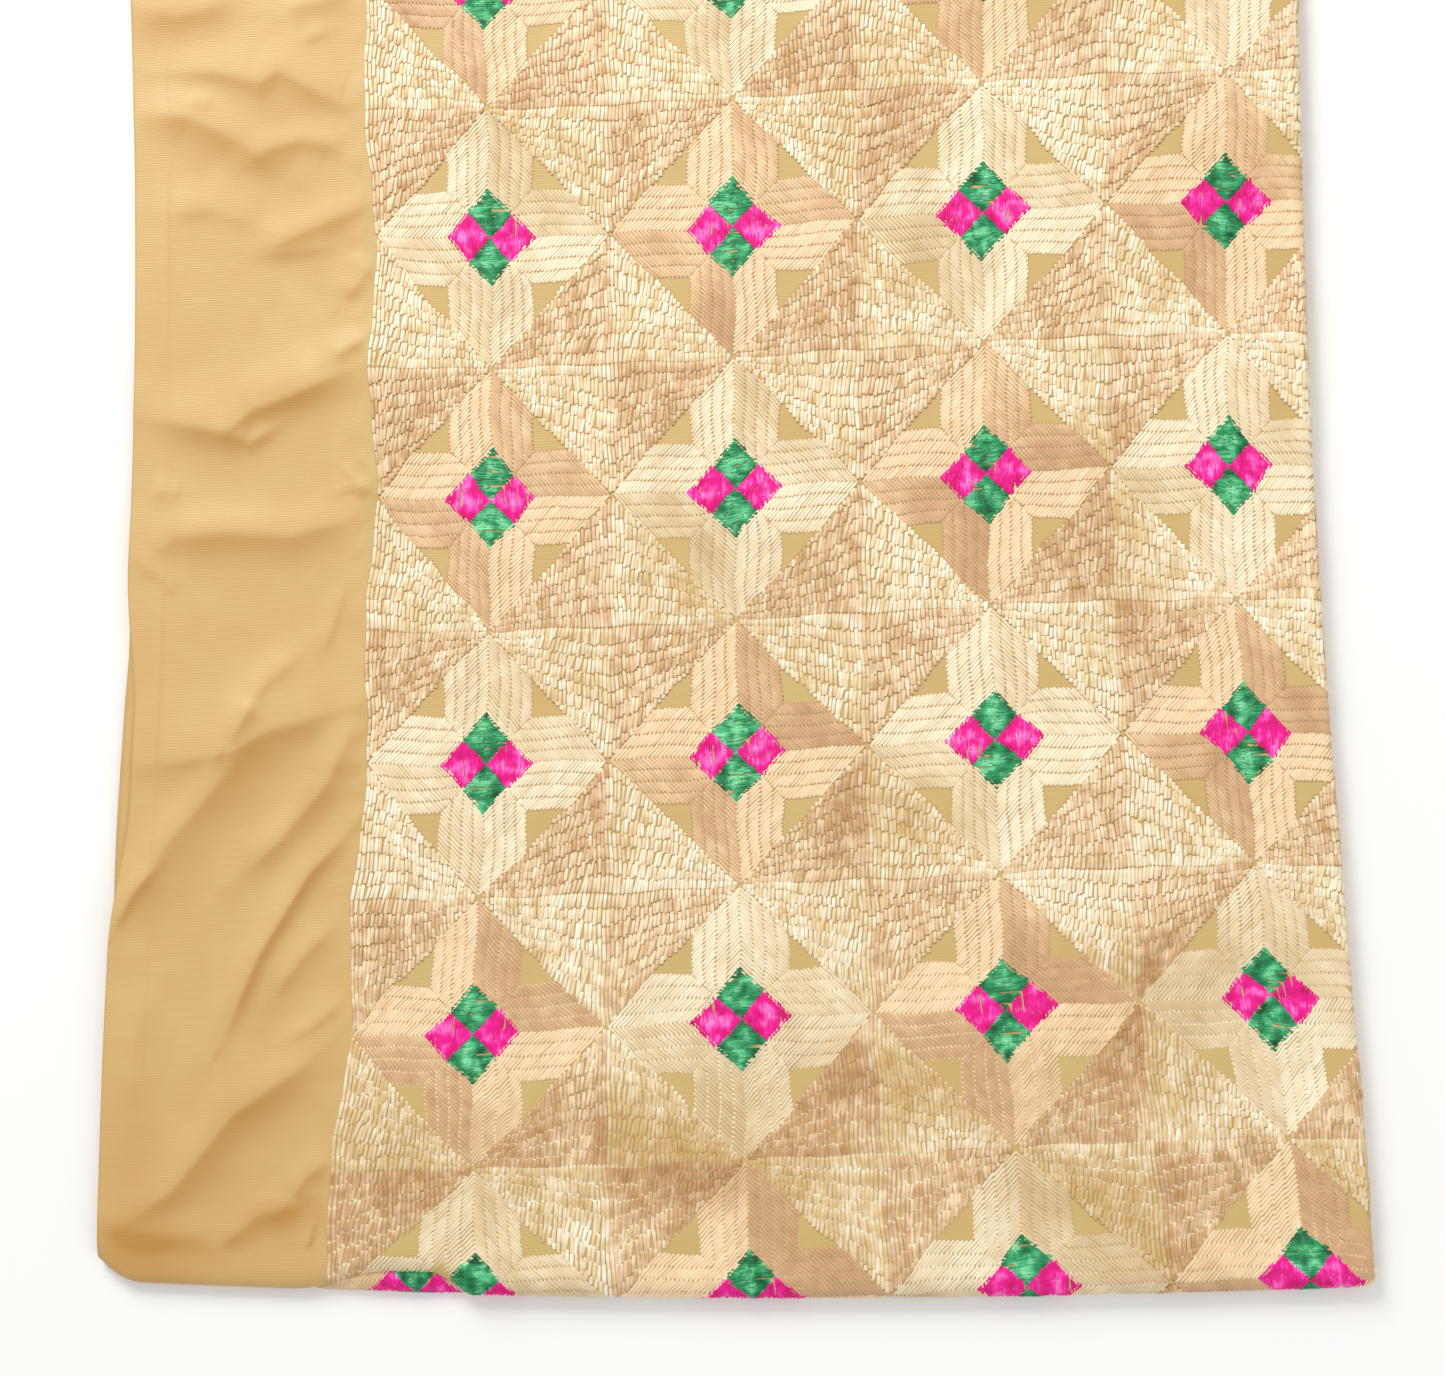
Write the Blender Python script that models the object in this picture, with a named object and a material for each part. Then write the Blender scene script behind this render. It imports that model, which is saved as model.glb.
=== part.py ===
"""Phulkari shawl laid flat, folded in half lengthwise and then crosswise.

Lengths in this file are in millimetres until a mesh is written, and then in metres.
+X runs across the folded shawl from its selvedges to its lengthwise fold, +Y runs from
the crosswise fold to the hemmed ends, and +Z is up.

The top leaf is one wall of cloth: its outer points carry the raised embroidery, the
bare triangles in it and the main creases, and it rolls down round both folds. The three
leaves below it share one rounded solid with grooved edges. A short length of the lower
fold shows in front where the top leaf sits back.
"""

import math
from dataclasses import dataclass

import bpy
import numpy as np
from mathutils import Vector, geometry

PITCH_X = 105.0  # one repeat across
PITCH_Y = 110.0  # one repeat along
ROWS = 9.5  # repeats from the crosswise fold to the plain end
FAR_END = 1130.0  # half of the shawl's length
BORDER_COLUMNS = 0.95  # plain border beside the field, in repeats
STAR_HEART = 0.36  # half diagonal of the diamond cluster, in half repeats

WALL = 1.3  # ground cloth as modelled
RAISE = 0.7  # embroidery above the ground
RAISE_SLOPE = 0.8
STRIP_TOP = 6.2  # top of the four leaves at the plain border
FIELD_TOP = 7.8  # top of the four leaves in the field, without the embroidery
TOP_RAMP = 12.0
GAP = 0.5  # air between the top leaf and the leaves below

SIDE_ROLL = 4.0  # half width of the lengthwise fold
SIDE_SHARE = 0.243  # its half height, as a share of the stack
SIDE_TURN = math.radians(150)
NEAR_ROLL = 9.0  # half width of the crosswise fold
NEAR_TURN = math.radians(165)

SELVEDGE_X = -106.0
SELVEDGE_SWAY = 5.5
SELVEDGE_WAVE = 780.0
SIDE_FOLD_X = 398.2
SIDE_FOLD_SWAY = 3.2
SIDE_FOLD_WAVE = 700.0
NEAR_BOW = 9.0
CORNER_LIFT = 9.0
CORNER_REACH = 18.0
PEEK_AT, PEEK_HALF, PEEK_DEPTH = 222.0, 66.0, 6.0
BACK_AT, BACK_HALF, BACK_DEPTH = 13.0, 34.0, 9.0
SCALLOP = 4.0

FINE_END = 575.0  # the strip's creases are modelled finely up to here
STEP_FINE, STEP_COARSE = 8.5, 15.0


@dataclass(frozen=True)
class Drift:
    """How far the hand-counted pattern wanders from a true grid, as one polynomial."""

    level: float
    across: float
    along: float
    twist: float
    across2: float
    along2: float
    across2_along: float
    across_along2: float
    across3: float
    along3: float

    def at(self, u, v):
        """The wander in millimetres at u, v, each from -1 to 1 over the near part."""
        straight = self.level + self.across * u + self.along * v + self.twist * u * v
        curved = self.across2 * u**2 + self.along2 * v**2
        mixed = self.across2_along * u**2 * v + self.across_along2 * u * v**2
        return straight + curved + mixed + self.across3 * u**3 + self.along3 * v**3


DRIFT_X = Drift(0.2, -0.4, 2.5, -7.1, -4.1, 3.6, 0.0, 15.6, -8.3, -0.6)
DRIFT_Y = Drift(-1.2, 4.7, 1.1, -3.7, -1.6, 6.5, 2.5, 0.8, -6.2, -0.4)


@dataclass(frozen=True)
class Crease:
    """A soft ridge along a line of points, or a trough where its height is negative."""

    height: float
    width: float
    line: tuple


CREASES = (
    Crease(1.6, 10.0, ((-105, 548), (-83, 541), (-56, 547))),
    Crease(1.3, 9.0, ((-35, 550), (-4, 548))),
    Crease(2.2, 8.0, ((-98, 524), (-67, 520), (-42, 513), (-11, 501), (4, 503))),
    Crease(2.4, 9.0, ((-102, 503), (-78, 500), (-60, 487), (-37, 470))),
    Crease(1.7, 7.0, ((-49, 484), (-29, 488), (-8, 480))),
    Crease(2.4, 9.0, ((-66, 454), (-37, 441), (-15, 449), (5, 457))),
    Crease(3.0, 6.5, ((-104, 372), (-81, 366), (-52, 360), (-28, 367), (2, 388))),
    Crease(2.6, 7.0, ((6, 332), (-11, 319), (-50, 314), (-85, 313), (-101, 312))),
    Crease(1.6, 7.0, ((-20, 266), (-43, 247), (-54, 226))),
    Crease(1.4, 6.5, ((-6, 296), (-14, 268))),
    Crease(3.2, 7.0, ((-104, 220), (-77, 222), (-55, 223), (-43, 231), (2, 242))),
    Crease(2.7, 8.0, ((1, 238), (-10, 208), (-32, 183), (-52, 166))),
    Crease(2.1, 8.0, ((-58, 207), (-81, 185), (-92, 164), (-106, 148))),
    Crease(2.8, 6.5, ((-3, 193), (-23, 171), (-44, 138), (-61, 101))),
    Crease(1.7, 7.0, ((-10, 152), (-37, 120))),
    Crease(3.2, 11.0, ((-8, 107), (-27, 84), (-52, 69), (-77, 39), (-106, 24))),
    Crease(-0.8, 8.0, ((-55, 31), (-28, 30))),
    Crease(2.4, 10.0, ((-98, 640), (-60, 632), (-30, 618), (1, 622))),
    Crease(1.9, 9.0, ((-80, 596), (-48, 588), (-16, 596))),
    Crease(2.8, 11.0, ((-104, 716), (-62, 704), (-25, 716), (-2, 738))),
    Crease(2.2, 10.0, ((-8, 668), (-38, 690), (-58, 724))),
    Crease(2.5, 12.0, ((-108, 806), (-70, 812), (-34, 800), (-4, 782))),
    Crease(1.8, 9.0, ((-88, 760), (-52, 764))),
    Crease(2.8, 11.0, ((-4, 862), (-32, 878), (-66, 872), (-106, 884))),
    Crease(2.0, 10.0, ((-16, 930), (-46, 912), (-78, 918))),
    Crease(2.6, 12.0, ((-102, 978), (-64, 968), (-24, 984), (2, 1004))),
    Crease(2.0, 11.0, ((-96, 1046), (-58, 1054), (-20, 1040))),
    Crease(1.8, 12.0, ((60, 1092), (120, 1082), (190, 1094))),
    Crease(1.8, 12.0, ((250, 1078), (310, 1094), (366, 1086))),
)


def smooth(t):
    """A rise from 0 to 1 over t from 0 to 1, level at both ends."""
    t = np.clip(t, 0.0, 1.0)
    return t * t * (3.0 - 2.0 * t)


def arc_table(wide, high):
    """Arc lengths round an ellipse and the angles from its top that they reach."""
    angle = np.linspace(0.0, math.pi, 361)
    step = np.hypot(wide * np.cos(angle), high * np.sin(angle))
    length = np.concatenate([[0.0], np.cumsum((step[1:] + step[:-1]) / 2 * np.diff(angle))])
    return length, angle


SIDE_ARC = arc_table(SIDE_ROLL, SIDE_SHARE * FIELD_TOP)
NEAR_ARC = arc_table(NEAR_ROLL, FIELD_TOP / 2)
SIDE_LENGTH = float(np.interp(SIDE_TURN, SIDE_ARC[1], SIDE_ARC[0]))
NEAR_LENGTH = float(np.interp(NEAR_TURN, NEAR_ARC[1], NEAR_ARC[0]))


def selvedge_x(y):
    """The line of the lowest selvedge."""
    return SELVEDGE_X + SELVEDGE_SWAY * np.cos(2 * np.pi * (y - 400.0) / SELVEDGE_WAVE)


def leaf_edge_x(y):
    """The top leaf's own selvedge, which sits back where the one below it shows."""
    return selvedge_x(y) + PEEK_DEPTH * smooth(1.25 - np.abs(y - PEEK_AT) / PEEK_HALF)


def side_fold_x(y):
    """The outermost line of the lengthwise fold."""
    return SIDE_FOLD_X - SIDE_FOLD_SWAY * np.cos(2 * np.pi * (y - 310.0) / SIDE_FOLD_WAVE)


def front_y(x):
    """The outermost line of the crosswise fold of the lower leaves."""
    bow = NEAR_BOW * ((x - 230.0) / 330.0) ** 2 - 1.0
    corner = np.clip(1.0 - (x - SELVEDGE_X + 5.0) / CORNER_REACH, 0.0, 1.0)
    return bow + CORNER_LIFT * corner**2


def sit_back(x):
    """How far the top leaf's near fold sits back behind the lower one."""
    return BACK_DEPTH * smooth(1.1 - np.abs(x - BACK_AT) / BACK_HALF)


def near_roll_y(x):
    """The line where the top leaf starts to roll down at the crosswise fold."""
    return front_y(x) + sit_back(x) + NEAR_ROLL


def side_roll_x(y):
    """The line where the top leaf starts to roll down at the lengthwise fold."""
    return side_fold_x(y) - SIDE_ROLL


def far_y(x):
    """The hemmed end of the top leaf."""
    return FAR_END + 1.5 * np.sin(x / 90.0)


def wander(c, r):
    """The pattern's drift at column c and row r, settling beyond the near rows."""
    near = np.minimum(r, 4.6)
    rows = near + 0.8 * np.tanh((np.maximum(r, 4.6) - 4.6) / 0.8)
    u = (np.clip(c, 0.0, 3.9) - 2.0) / 2.0
    v = (np.maximum(rows, -0.2) - 2.5) / 2.5
    pull = SCALLOP * (0.5 - 0.5 * np.cos(2 * np.pi * r)) * np.exp(-np.clip(c, 0, 9) / 0.15)
    return DRIFT_X.at(u, v) - pull, DRIFT_Y.at(u, v)


def field_plan(c, r):
    """Where column c and row r lie on the cloth before it rolls round a fold."""
    dx, dy = wander(c, r)
    return PITCH_X * c + dx, PITCH_Y * r + dy


def counted(x, y):
    """The column and row at a place in the field."""
    c, r = x / PITCH_X, y / PITCH_Y
    for _ in range(14):
        dx, dy = wander(c, r)
        c, r = (x - dx) / PITCH_X, (y - dy) / PITCH_Y
    return c, r


def field_edge_x(y):
    """The embroidery's edge beside the plain border."""
    r = y / PITCH_Y
    for _ in range(6):
        r = (y - wander(0.0 * r, r)[1]) / PITCH_Y
    return wander(0.0 * r, r)[0]


def stack_top(x, y):
    """The top of the four leaves without creases or embroidery."""
    inward = smooth((x + TOP_RAMP) / (2 * TOP_RAMP))
    end = smooth((y - PITCH_Y * ROWS + TOP_RAMP) / (2 * TOP_RAMP))
    return STRIP_TOP + (FIELD_TOP - STRIP_TOP) * inward * (1.0 - end)


def line_distance(x, y, line):
    """The distance to a line of points, and the share of its length that is nearest."""
    points = np.array(line, float)
    parts = np.hypot(*np.diff(points, axis=0).T)
    start = np.concatenate([[0.0], np.cumsum(parts)])
    best = np.full(np.shape(x), 1e9)
    share = np.zeros(np.shape(x))
    for i, part in enumerate(parts):
        along = (points[i + 1] - points[i]) / part
        t = np.clip((x - points[i, 0]) * along[0] + (y - points[i, 1]) * along[1], 0, part)
        d = np.hypot(x - points[i, 0] - t * along[0], y - points[i, 1] - t * along[1])
        share = np.where(d < best, (start[i] + t) / start[-1], share)
        best = np.minimum(best, d)
    return best, share


def relief(x, y):
    """The creases and the slow waves of the top leaf."""
    z = 0.35 * np.sin(x / 31.0 + y / 57.0) * np.sin(y / 43.0 - x / 70.0)
    for crease in CREASES:
        away, share = line_distance(x, y, crease.line)
        taper = 0.35 + 0.65 * smooth(4.0 * np.minimum(share, 1.0 - share))
        z = z + crease.height * taper * np.exp(-((away / crease.width) ** 2))
    from_side = smooth((side_roll_x(y) - x) / 12.0)
    from_near = smooth((y - near_roll_y(x)) / 12.0)
    return z * from_side * from_near


def place(x, y, lift):
    """A point of the top leaf: lift is above the ground cloth's face, or below it."""
    top = stack_top(x, y)
    middle = stack_top(x, near_roll_y(x)) / 2
    roll = SIDE_SHARE * top
    past = np.maximum(x - side_roll_x(y), 0.0)
    turn = np.interp(past, SIDE_ARC[0], SIDE_ARC[1])
    side_x = np.where(past > 0, side_roll_x(y) + (SIDE_ROLL + lift) * np.sin(turn), x)
    drop = -lift + (roll + lift) * (1.0 - np.cos(turn))
    before = np.maximum(near_roll_y(x) - y, 0.0)
    bend = np.interp(before, NEAR_ARC[0], NEAR_ARC[1])
    left = np.maximum(1.0 - drop / middle, 0.02)
    reach = NEAR_ROLL * left ** (middle / NEAR_ROLL)
    rolled = before > 0
    out_y = np.where(rolled, near_roll_y(x) - reach * np.sin(bend), y)
    height = np.where(rolled, middle + middle * left * np.cos(bend), top - drop)
    return np.stack([side_x, out_y, height + relief(x, y)], axis=-1)


def embroidery(x, y):
    """How far the embroidery stands above the ground: none on a bare triangle."""
    c, r = counted(x, y)
    inside = np.minimum(c * PITCH_X, (ROWS - r) * PITCH_Y)
    edge = np.clip(inside / RAISE_SLOPE, 0.0, 1.0)
    p = np.abs(2.0 * (c - np.floor(c)) - 1.0)
    q = np.abs(2.0 * (r - np.round(r)))
    deep = np.minimum(p - STAR_HEART, q - STAR_HEART)
    deep = np.minimum(deep, (1.0 - p - q) * 0.7) * PITCH_X / 2
    bare = np.clip(deep / RAISE_SLOPE, 0.0, 1.0)
    past = np.interp(np.maximum(x - side_roll_x(y), 0.0), SIDE_ARC[0], SIDE_ARC[1])
    under = np.interp(np.maximum(near_roll_y(x) - y, 0.0), NEAR_ARC[0], NEAR_ARC[1])
    turned = np.maximum(past - math.radians(95), under - math.radians(120))
    tucked = 1.0 - smooth(turned / math.radians(28))
    return RAISE * edge * (1.0 - bare) * tucked


class Sketch:
    """Points and the lines between them that a triangulation has to keep."""

    def __init__(self):
        self.points = []
        self.lines = []

    def add(self, points):
        """Adds loose points."""
        self.points.extend((float(x), float(y)) for x, y in points)

    def add_line(self, points, closed=False):
        """Adds points joined in their order."""
        first = len(self.points)
        self.add(points)
        last = len(self.points) - 1
        self.lines.extend((i, i + 1) for i in range(first, last))
        if closed:
            self.lines.append((last, first))

    def triangles(self, outline):
        """The points and triangles inside the outline, with the outline's indices."""
        self.add_line(outline, closed=True)
        count = len(self.points)
        vectors = [Vector(p) for p in self.points]
        result = geometry.delaunay_2d_cdt(vectors, self.lines, [], 0, 1e-4)
        xy = np.array([(v.x, v.y) for v in result[0]])
        faces = np.array(result[2])
        centre = xy[faces].mean(axis=1)
        faces = faces[inside(centre, np.array(outline))]
        new_of = {old: new for new, olds in enumerate(result[3]) for old in olds}
        rim = [new_of[i] for i in range(count - len(outline), count)]
        used = np.unique(faces)
        renumber = np.full(len(xy), -1)
        renumber[used] = np.arange(len(used))
        return xy[used], renumber[faces], renumber[rim]


def inside(points, outline):
    """Which points lie inside a closed outline."""
    x, y = points[:, 0, None], points[:, 1, None]
    x0, y0 = outline[:, 0], outline[:, 1]
    x1, y1 = np.roll(x0, -1), np.roll(y0, -1)
    crosses = (y0 > y) != (y1 > y)
    rise = np.where(y1 == y0, 1.0, y1 - y0)
    at = x0 + (y - y0) * (x1 - x0) / rise
    return (crosses & (x < at)).sum(axis=1) % 2 == 1


def stations(start, stop, step):
    """Evenly spaced places from start to stop, about step apart."""
    return np.linspace(start, stop, max(2, int(round(abs(stop - start) / step)) + 1))


LEAF_Y = np.concatenate([stations(0, FINE_END, 9.0), stations(FINE_END, FAR_END, 15.5)[1:]])
NEAR_X = np.concatenate([stations(0, 0.36, 0.022), stations(0.36, 1.0, 0.032)[1:]])
SIDE_Y = stations(14.0, FAR_END, 22.0)
NEAR_ROWS = np.radians((0.0, 24.0, 46.0, 67.0, 90.0, 116.0, 142.0))
SIDE_ROWS = np.radians((0.0, 35.0, 68.0, 100.0, 128.0))


def leaf_outline():
    """The top leaf's outline before it rolls, counter-clockwise."""
    right = side_roll_x(0.0)
    left = leaf_edge_x(0.0)
    x = left + (right - 4.0 - left) * NEAR_X
    near = np.stack([x, near_roll_y(x) - NEAR_LENGTH], axis=1)
    corner_x = right + np.interp(SIDE_ROWS, SIDE_ARC[1], SIDE_ARC[0])
    corner = np.stack([corner_x, near_roll_y(corner_x) - NEAR_LENGTH], axis=1)
    tip_x = right + SIDE_LENGTH
    tip_y = near_roll_y(tip_x)
    round_rows = tip_y - np.interp(NEAR_ROWS, NEAR_ARC[1], NEAR_ARC[0])
    side_y = np.concatenate([[tip_y - NEAR_LENGTH], round_rows[::-1], SIDE_Y[1:]])
    side = np.stack([side_roll_x(side_y) + SIDE_LENGTH, side_y], axis=1)
    side[-1, 1] = far_y(side[-1, 0])
    far_x = stations(side_roll_x(FAR_END) + SIDE_LENGTH, leaf_edge_x(FAR_END), 19.0)[1:]
    far = np.stack([far_x, far_y(far_x)], axis=1)
    edge_y = LEAF_Y[(LEAF_Y > 4.0) & (LEAF_Y < FAR_END - 4.0)][::-1]
    edge = np.stack([leaf_edge_x(edge_y), edge_y], axis=1)
    return np.concatenate([near, corner, side, far, edge])


def roll_points():
    """The rows of points that carry both rolls and the corner between them."""
    right = side_roll_x(0.0)
    left = leaf_edge_x(0.0)
    x = left + (right - 4.0 - left) * NEAR_X[1:]
    corner_x = right + np.interp(SIDE_ROWS, SIDE_ARC[1], SIDE_ARC[0])
    across = np.concatenate([x, corner_x])
    down = np.interp(NEAR_ROWS, NEAR_ARC[1], NEAR_ARC[0])
    near = [(a, near_roll_y(a) - b) for a in across for b in down]
    out = np.interp(SIDE_ROWS, SIDE_ARC[1], SIDE_ARC[0])
    side = [(side_roll_x(y) + a, y) for y in SIDE_Y[1:-1] for a in out]
    return near + side


def border_points():
    """Points of the plain border, close enough for its creases."""
    points = []
    y, row = 20.0, 0
    while y < FAR_END - 6.0:
        step = STEP_FINE if y < FINE_END else STEP_COARSE
        left = float(leaf_edge_x(y)) + 0.75 * step
        right = float(field_edge_x(np.array([y]))[0]) - 5.0
        across = stations(left + (row % 2) * 0.35 * step, right, step)
        points.extend((x, y) for x in across if y > near_roll_y(x) + 3.0)
        y += 0.9 * step
        row += 1
    return points


def end_points():
    """Points of the plain end beyond the last row."""
    start = PITCH_Y * ROWS + 14.0
    return [(x, y) for y in stations(start, FAR_END - 14.0, 19.0) for x in stations(16, 386, 23.0)]


def bare_triangles():
    """The outer and inner corners of each bare triangle that lies on the flat part."""
    heart, lip = STAR_HEART, 2.0 * RAISE_SLOPE / PITCH_X
    corners = ((heart, heart), (1.0 - heart, heart), (heart, 1.0 - heart))
    near, far = heart + lip, 1.0 - heart - 2.42 * lip
    sunk = ((near, near), (far, near), (near, far))
    for column in range(4):
        for row in range(10):
            for sx, sy in ((1, 1), (-1, 1), (-1, -1), (1, -1)):
                rings = []
                for ring in (corners, sunk):
                    c = np.array([column + 0.5 + sx * p / 2 for p, _ in ring])
                    r = np.array([row + sy * q / 2 for _, q in ring])
                    rings.append(np.stack(field_plan(c, r), axis=1))
                x, y = rings[0].T
                clear_side = (x < side_roll_x(y) - 3.0).all()
                clear_near = (y > near_roll_y(x) + 3.0).all()
                if clear_side and clear_near and (row + sy * 0.32) < ROWS - 0.1:
                    yield rings


def field_edges():
    """The foot and the brow of the embroidery along the border and along the end."""
    rows = np.concatenate([stations(0.22, 5.0, 0.1), stations(5.0, ROWS, 0.16)[1:]])
    columns = stations(0.0, 3.7, 0.25)
    lip_c, lip_r = 1.2 * RAISE_SLOPE / PITCH_X, 1.2 * RAISE_SLOPE / PITCH_Y
    foot_side = np.stack(field_plan(0.0 * rows, rows), axis=1)
    foot_end = np.stack(field_plan(columns, ROWS + 0.0 * columns), axis=1)
    brow_side = np.stack(field_plan(lip_c + 0.0 * rows[:-1], rows[:-1]), axis=1)
    brow_end = np.stack(field_plan(columns[1:], ROWS - lip_r + 0.0 * columns[1:]), axis=1)
    return np.concatenate([foot_side, foot_end[1:]]), np.concatenate([brow_side, brow_end])


def field_middles(step):
    """Sparse points of the field for the side that isn't seen."""
    points = []
    for y in stations(24.0, PITCH_Y * ROWS - 16.0, step):
        for x in stations(18.0, side_roll_x(y) - 8.0, step):
            points.append((float(x), float(y)))
    return points


def to_object(name, points, faces, material):
    """A closed mesh object in metres."""
    mesh = bpy.data.meshes.new(name)
    mesh.from_pydata([tuple(p) for p in points * 0.001], [], [list(f) for f in faces])
    mesh.validate()
    mesh.update()
    obj = bpy.data.objects.new(name, mesh)
    obj.data.materials.append(material)
    bpy.context.scene.collection.objects.link(obj)
    return obj


def top_leaf():
    """The points and triangles of the top leaf's wall."""
    outline = leaf_outline()
    face = Sketch()
    for outer, sunk in bare_triangles():
        face.add_line(outer, closed=True)
        face.add_line(sunk, closed=True)
    for line in field_edges():
        face.add_line(line)
    shared = roll_points() + border_points() + end_points()
    face.add(shared)
    xy, faces, rim = face.triangles(outline)
    upper = place(xy[:, 0], xy[:, 1], embroidery(xy[:, 0], xy[:, 1]))
    back = Sketch()
    back.add(shared)
    back.add(field_middles(34.0))
    inner_xy, inner_faces, inner_rim = back.triangles(outline)
    lower = place(inner_xy[:, 0], inner_xy[:, 1], -WALL)
    count = len(upper)
    walls = []
    for i in range(len(rim)):
        j = (i + 1) % len(rim)
        a, b = rim[i], rim[j]
        c, d = count + inner_rim[j], count + inner_rim[i]
        walls.extend(((d, c, b), (d, b, a)))
    every = [faces, (inner_faces + count)[:, ::-1], np.array(walls)]
    return np.concatenate([upper, lower]), np.concatenate(every)


def near_profile(top):
    """Offsets and heights down the near side, inside the top leaf's roll."""
    out = (0.0, 1.6, 3.0, 3.9, 4.2, 3.9, 3.0, 1.6, 0.2, -1.2, -1.2, -1.2)
    share = (1.0, 0.95, 0.84, 0.68, 0.5, 0.32, 0.16, 0.05, 0.0)
    low = 1.9
    heights = [low + (top - low) * s for s in share] + [1.8, 0.9, 0.0]
    return np.array(out), np.array(heights)


def side_profile(top, stack):
    """Offsets and heights down the lengthwise fold: a step, then the lower fold's round."""
    half = SIDE_SHARE * stack
    turn = np.radians(np.linspace(0.0, 180.0, 10))
    out = np.concatenate([[-0.4, -0.4], SIDE_ROLL * np.sin(turn)])
    return out, np.concatenate([[top, 2 * half + 0.1], half + half * np.cos(turn)])


def leaf_ends(top, offsets):
    """Offsets and heights down the free edges of three leaves with grooves between."""
    second, third, fourth = offsets
    leaf, groove = top / 3.0, 1.3
    out = [second - 0.4, second, second, second - groove, third - groove, third]
    out += [third, third - groove, fourth - groove, fourth, fourth, fourth - 0.4]
    down = (0.0, 0.22, 0.72, 0.94, 1.06, 1.28, 1.76, 1.94, 2.06, 2.3)
    heights = [top - leaf * d for d in down] + [0.25, 0.0]
    return np.array(out), np.array(heights)


def edge_offsets(y):
    """How far the three lower selvedges stand out at a place along the border."""
    shown = smooth(1.25 - abs(y - PEEK_AT) / PEEK_HALF)
    second = -1.6 * (1 - shown) + 0.8 * math.sin(y / 61.0)
    return second, -1.4 + 1.1 * math.sin(y / 83.0 + 1.0), -0.6 + 0.6 * math.cos(y / 47.0)


def hem_offsets(x):
    """How far the three lower ends stand out at a place across the shawl."""
    return -2.4 + 1.2 * math.sin(x / 70.0), 0.6 + math.cos(x / 95.0), -1.8 + math.sin(x / 51.0)


def hidden_top(x, y):
    """The top of the lower leaves, just under the top leaf's inner face."""
    return stack_top(x, y) - WALL - GAP + np.minimum(relief(x, y), 0.0) - 0.1


def perimeter():
    """Places round the lower leaves with the profile of each, counter-clockwise."""
    left, right = float(selvedge_x(0.0)), float(side_roll_x(0.0)) - 0.3
    across = np.concatenate([stations(left, 60.0, 12.0)[1:], stations(60.0, right - 3, 23.0)[1:]])
    along = np.concatenate([stations(0.0, FINE_END, 14.0), stations(FINE_END, FAR_END, 22.0)[1:]])
    places = []
    for x in across:
        y = float(near_roll_y(x))
        out, high = near_profile(float(hidden_top(x, y)))
        places.append((x + 0.0 * out, y - out, high))
    y = float(near_roll_y(right)) + 1.2
    for y in np.concatenate([[y], along[along > y + 5.0][:-1], [FAR_END - 2.0]]):
        x = float(side_roll_x(y)) - 0.3
        out, high = side_profile(float(hidden_top(x, y)), float(stack_top(x, y)))
        places.append((x + np.where(out > 0, out + 0.3, out), y + 0.0 * out, high))
    far = stations(float(side_roll_x(FAR_END)) - 8.0, float(selvedge_x(FAR_END)) + 8.0, 25.0)
    for x in far:
        y = float(far_y(x))
        out, high = leaf_ends(float(hidden_top(x, y)), hem_offsets(x))
        places.append((x + 0.0 * out, y + out, high))
    x, y = float(selvedge_x(FAR_END)), float(far_y(selvedge_x(FAR_END)))
    aside, high = leaf_ends(float(hidden_top(x, y)), edge_offsets(y))
    places.append((x - aside, y + leaf_ends(1.0, hem_offsets(x))[0], high))
    first = float(near_roll_y(left)) + 1.2
    for y in np.concatenate([along[(along > first + 6) & (along < FAR_END - 8)][::-1], [first]]):
        x = float(selvedge_x(y))
        out, high = leaf_ends(float(hidden_top(x, y)), edge_offsets(y))
        places.append((x - out, y + 0.0 * out, high))
    return places


def lower_leaves():
    """The points and triangles of the solid that the three lower leaves share."""
    rings = np.array(perimeter())
    count, levels = rings.shape[0], rings.shape[2]
    points = np.transpose(rings, (2, 0, 1)).reshape(levels * count, 3)
    faces = []
    for level in range(levels - 1):
        for i in range(count):
            j = (i + 1) % count
            a, b = level * count + i, level * count + j
            c, d = a + count, b + count
            faces.extend(((a, c, d), (a, d, b)))
    top = Sketch()
    for y in stations(30.0, FAR_END - 20.0, 30.0):
        inward = (-92, -70, -50, -32, -14, 0, 14, 45, 90, 135, 180, 225, 270, 315, 355, 380)
        top.add((x, y) for x in inward)
    lids = []
    extra = []
    for level, sketch in ((0, top), (levels - 1, Sketch())):
        ring = points[level * count : (level + 1) * count]
        xy, lid, rim = sketch.triangles(ring[:, :2])
        index = np.full(len(xy), -1)
        index[rim] = level * count + np.arange(count)
        loose = np.flatnonzero(index < 0)
        index[loose] = len(points) + sum(len(e) for e in extra) + np.arange(len(loose))
        x, y = xy[loose].T if len(loose) else (np.zeros(0), np.zeros(0))
        extra.append(np.stack([x, y, hidden_top(x, y)], axis=1))
        lid = index[lid]
        lids.append(lid if level == 0 else lid[:, ::-1])
    return np.concatenate([points, *extra]), np.concatenate([np.array(faces), *lids])


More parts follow.
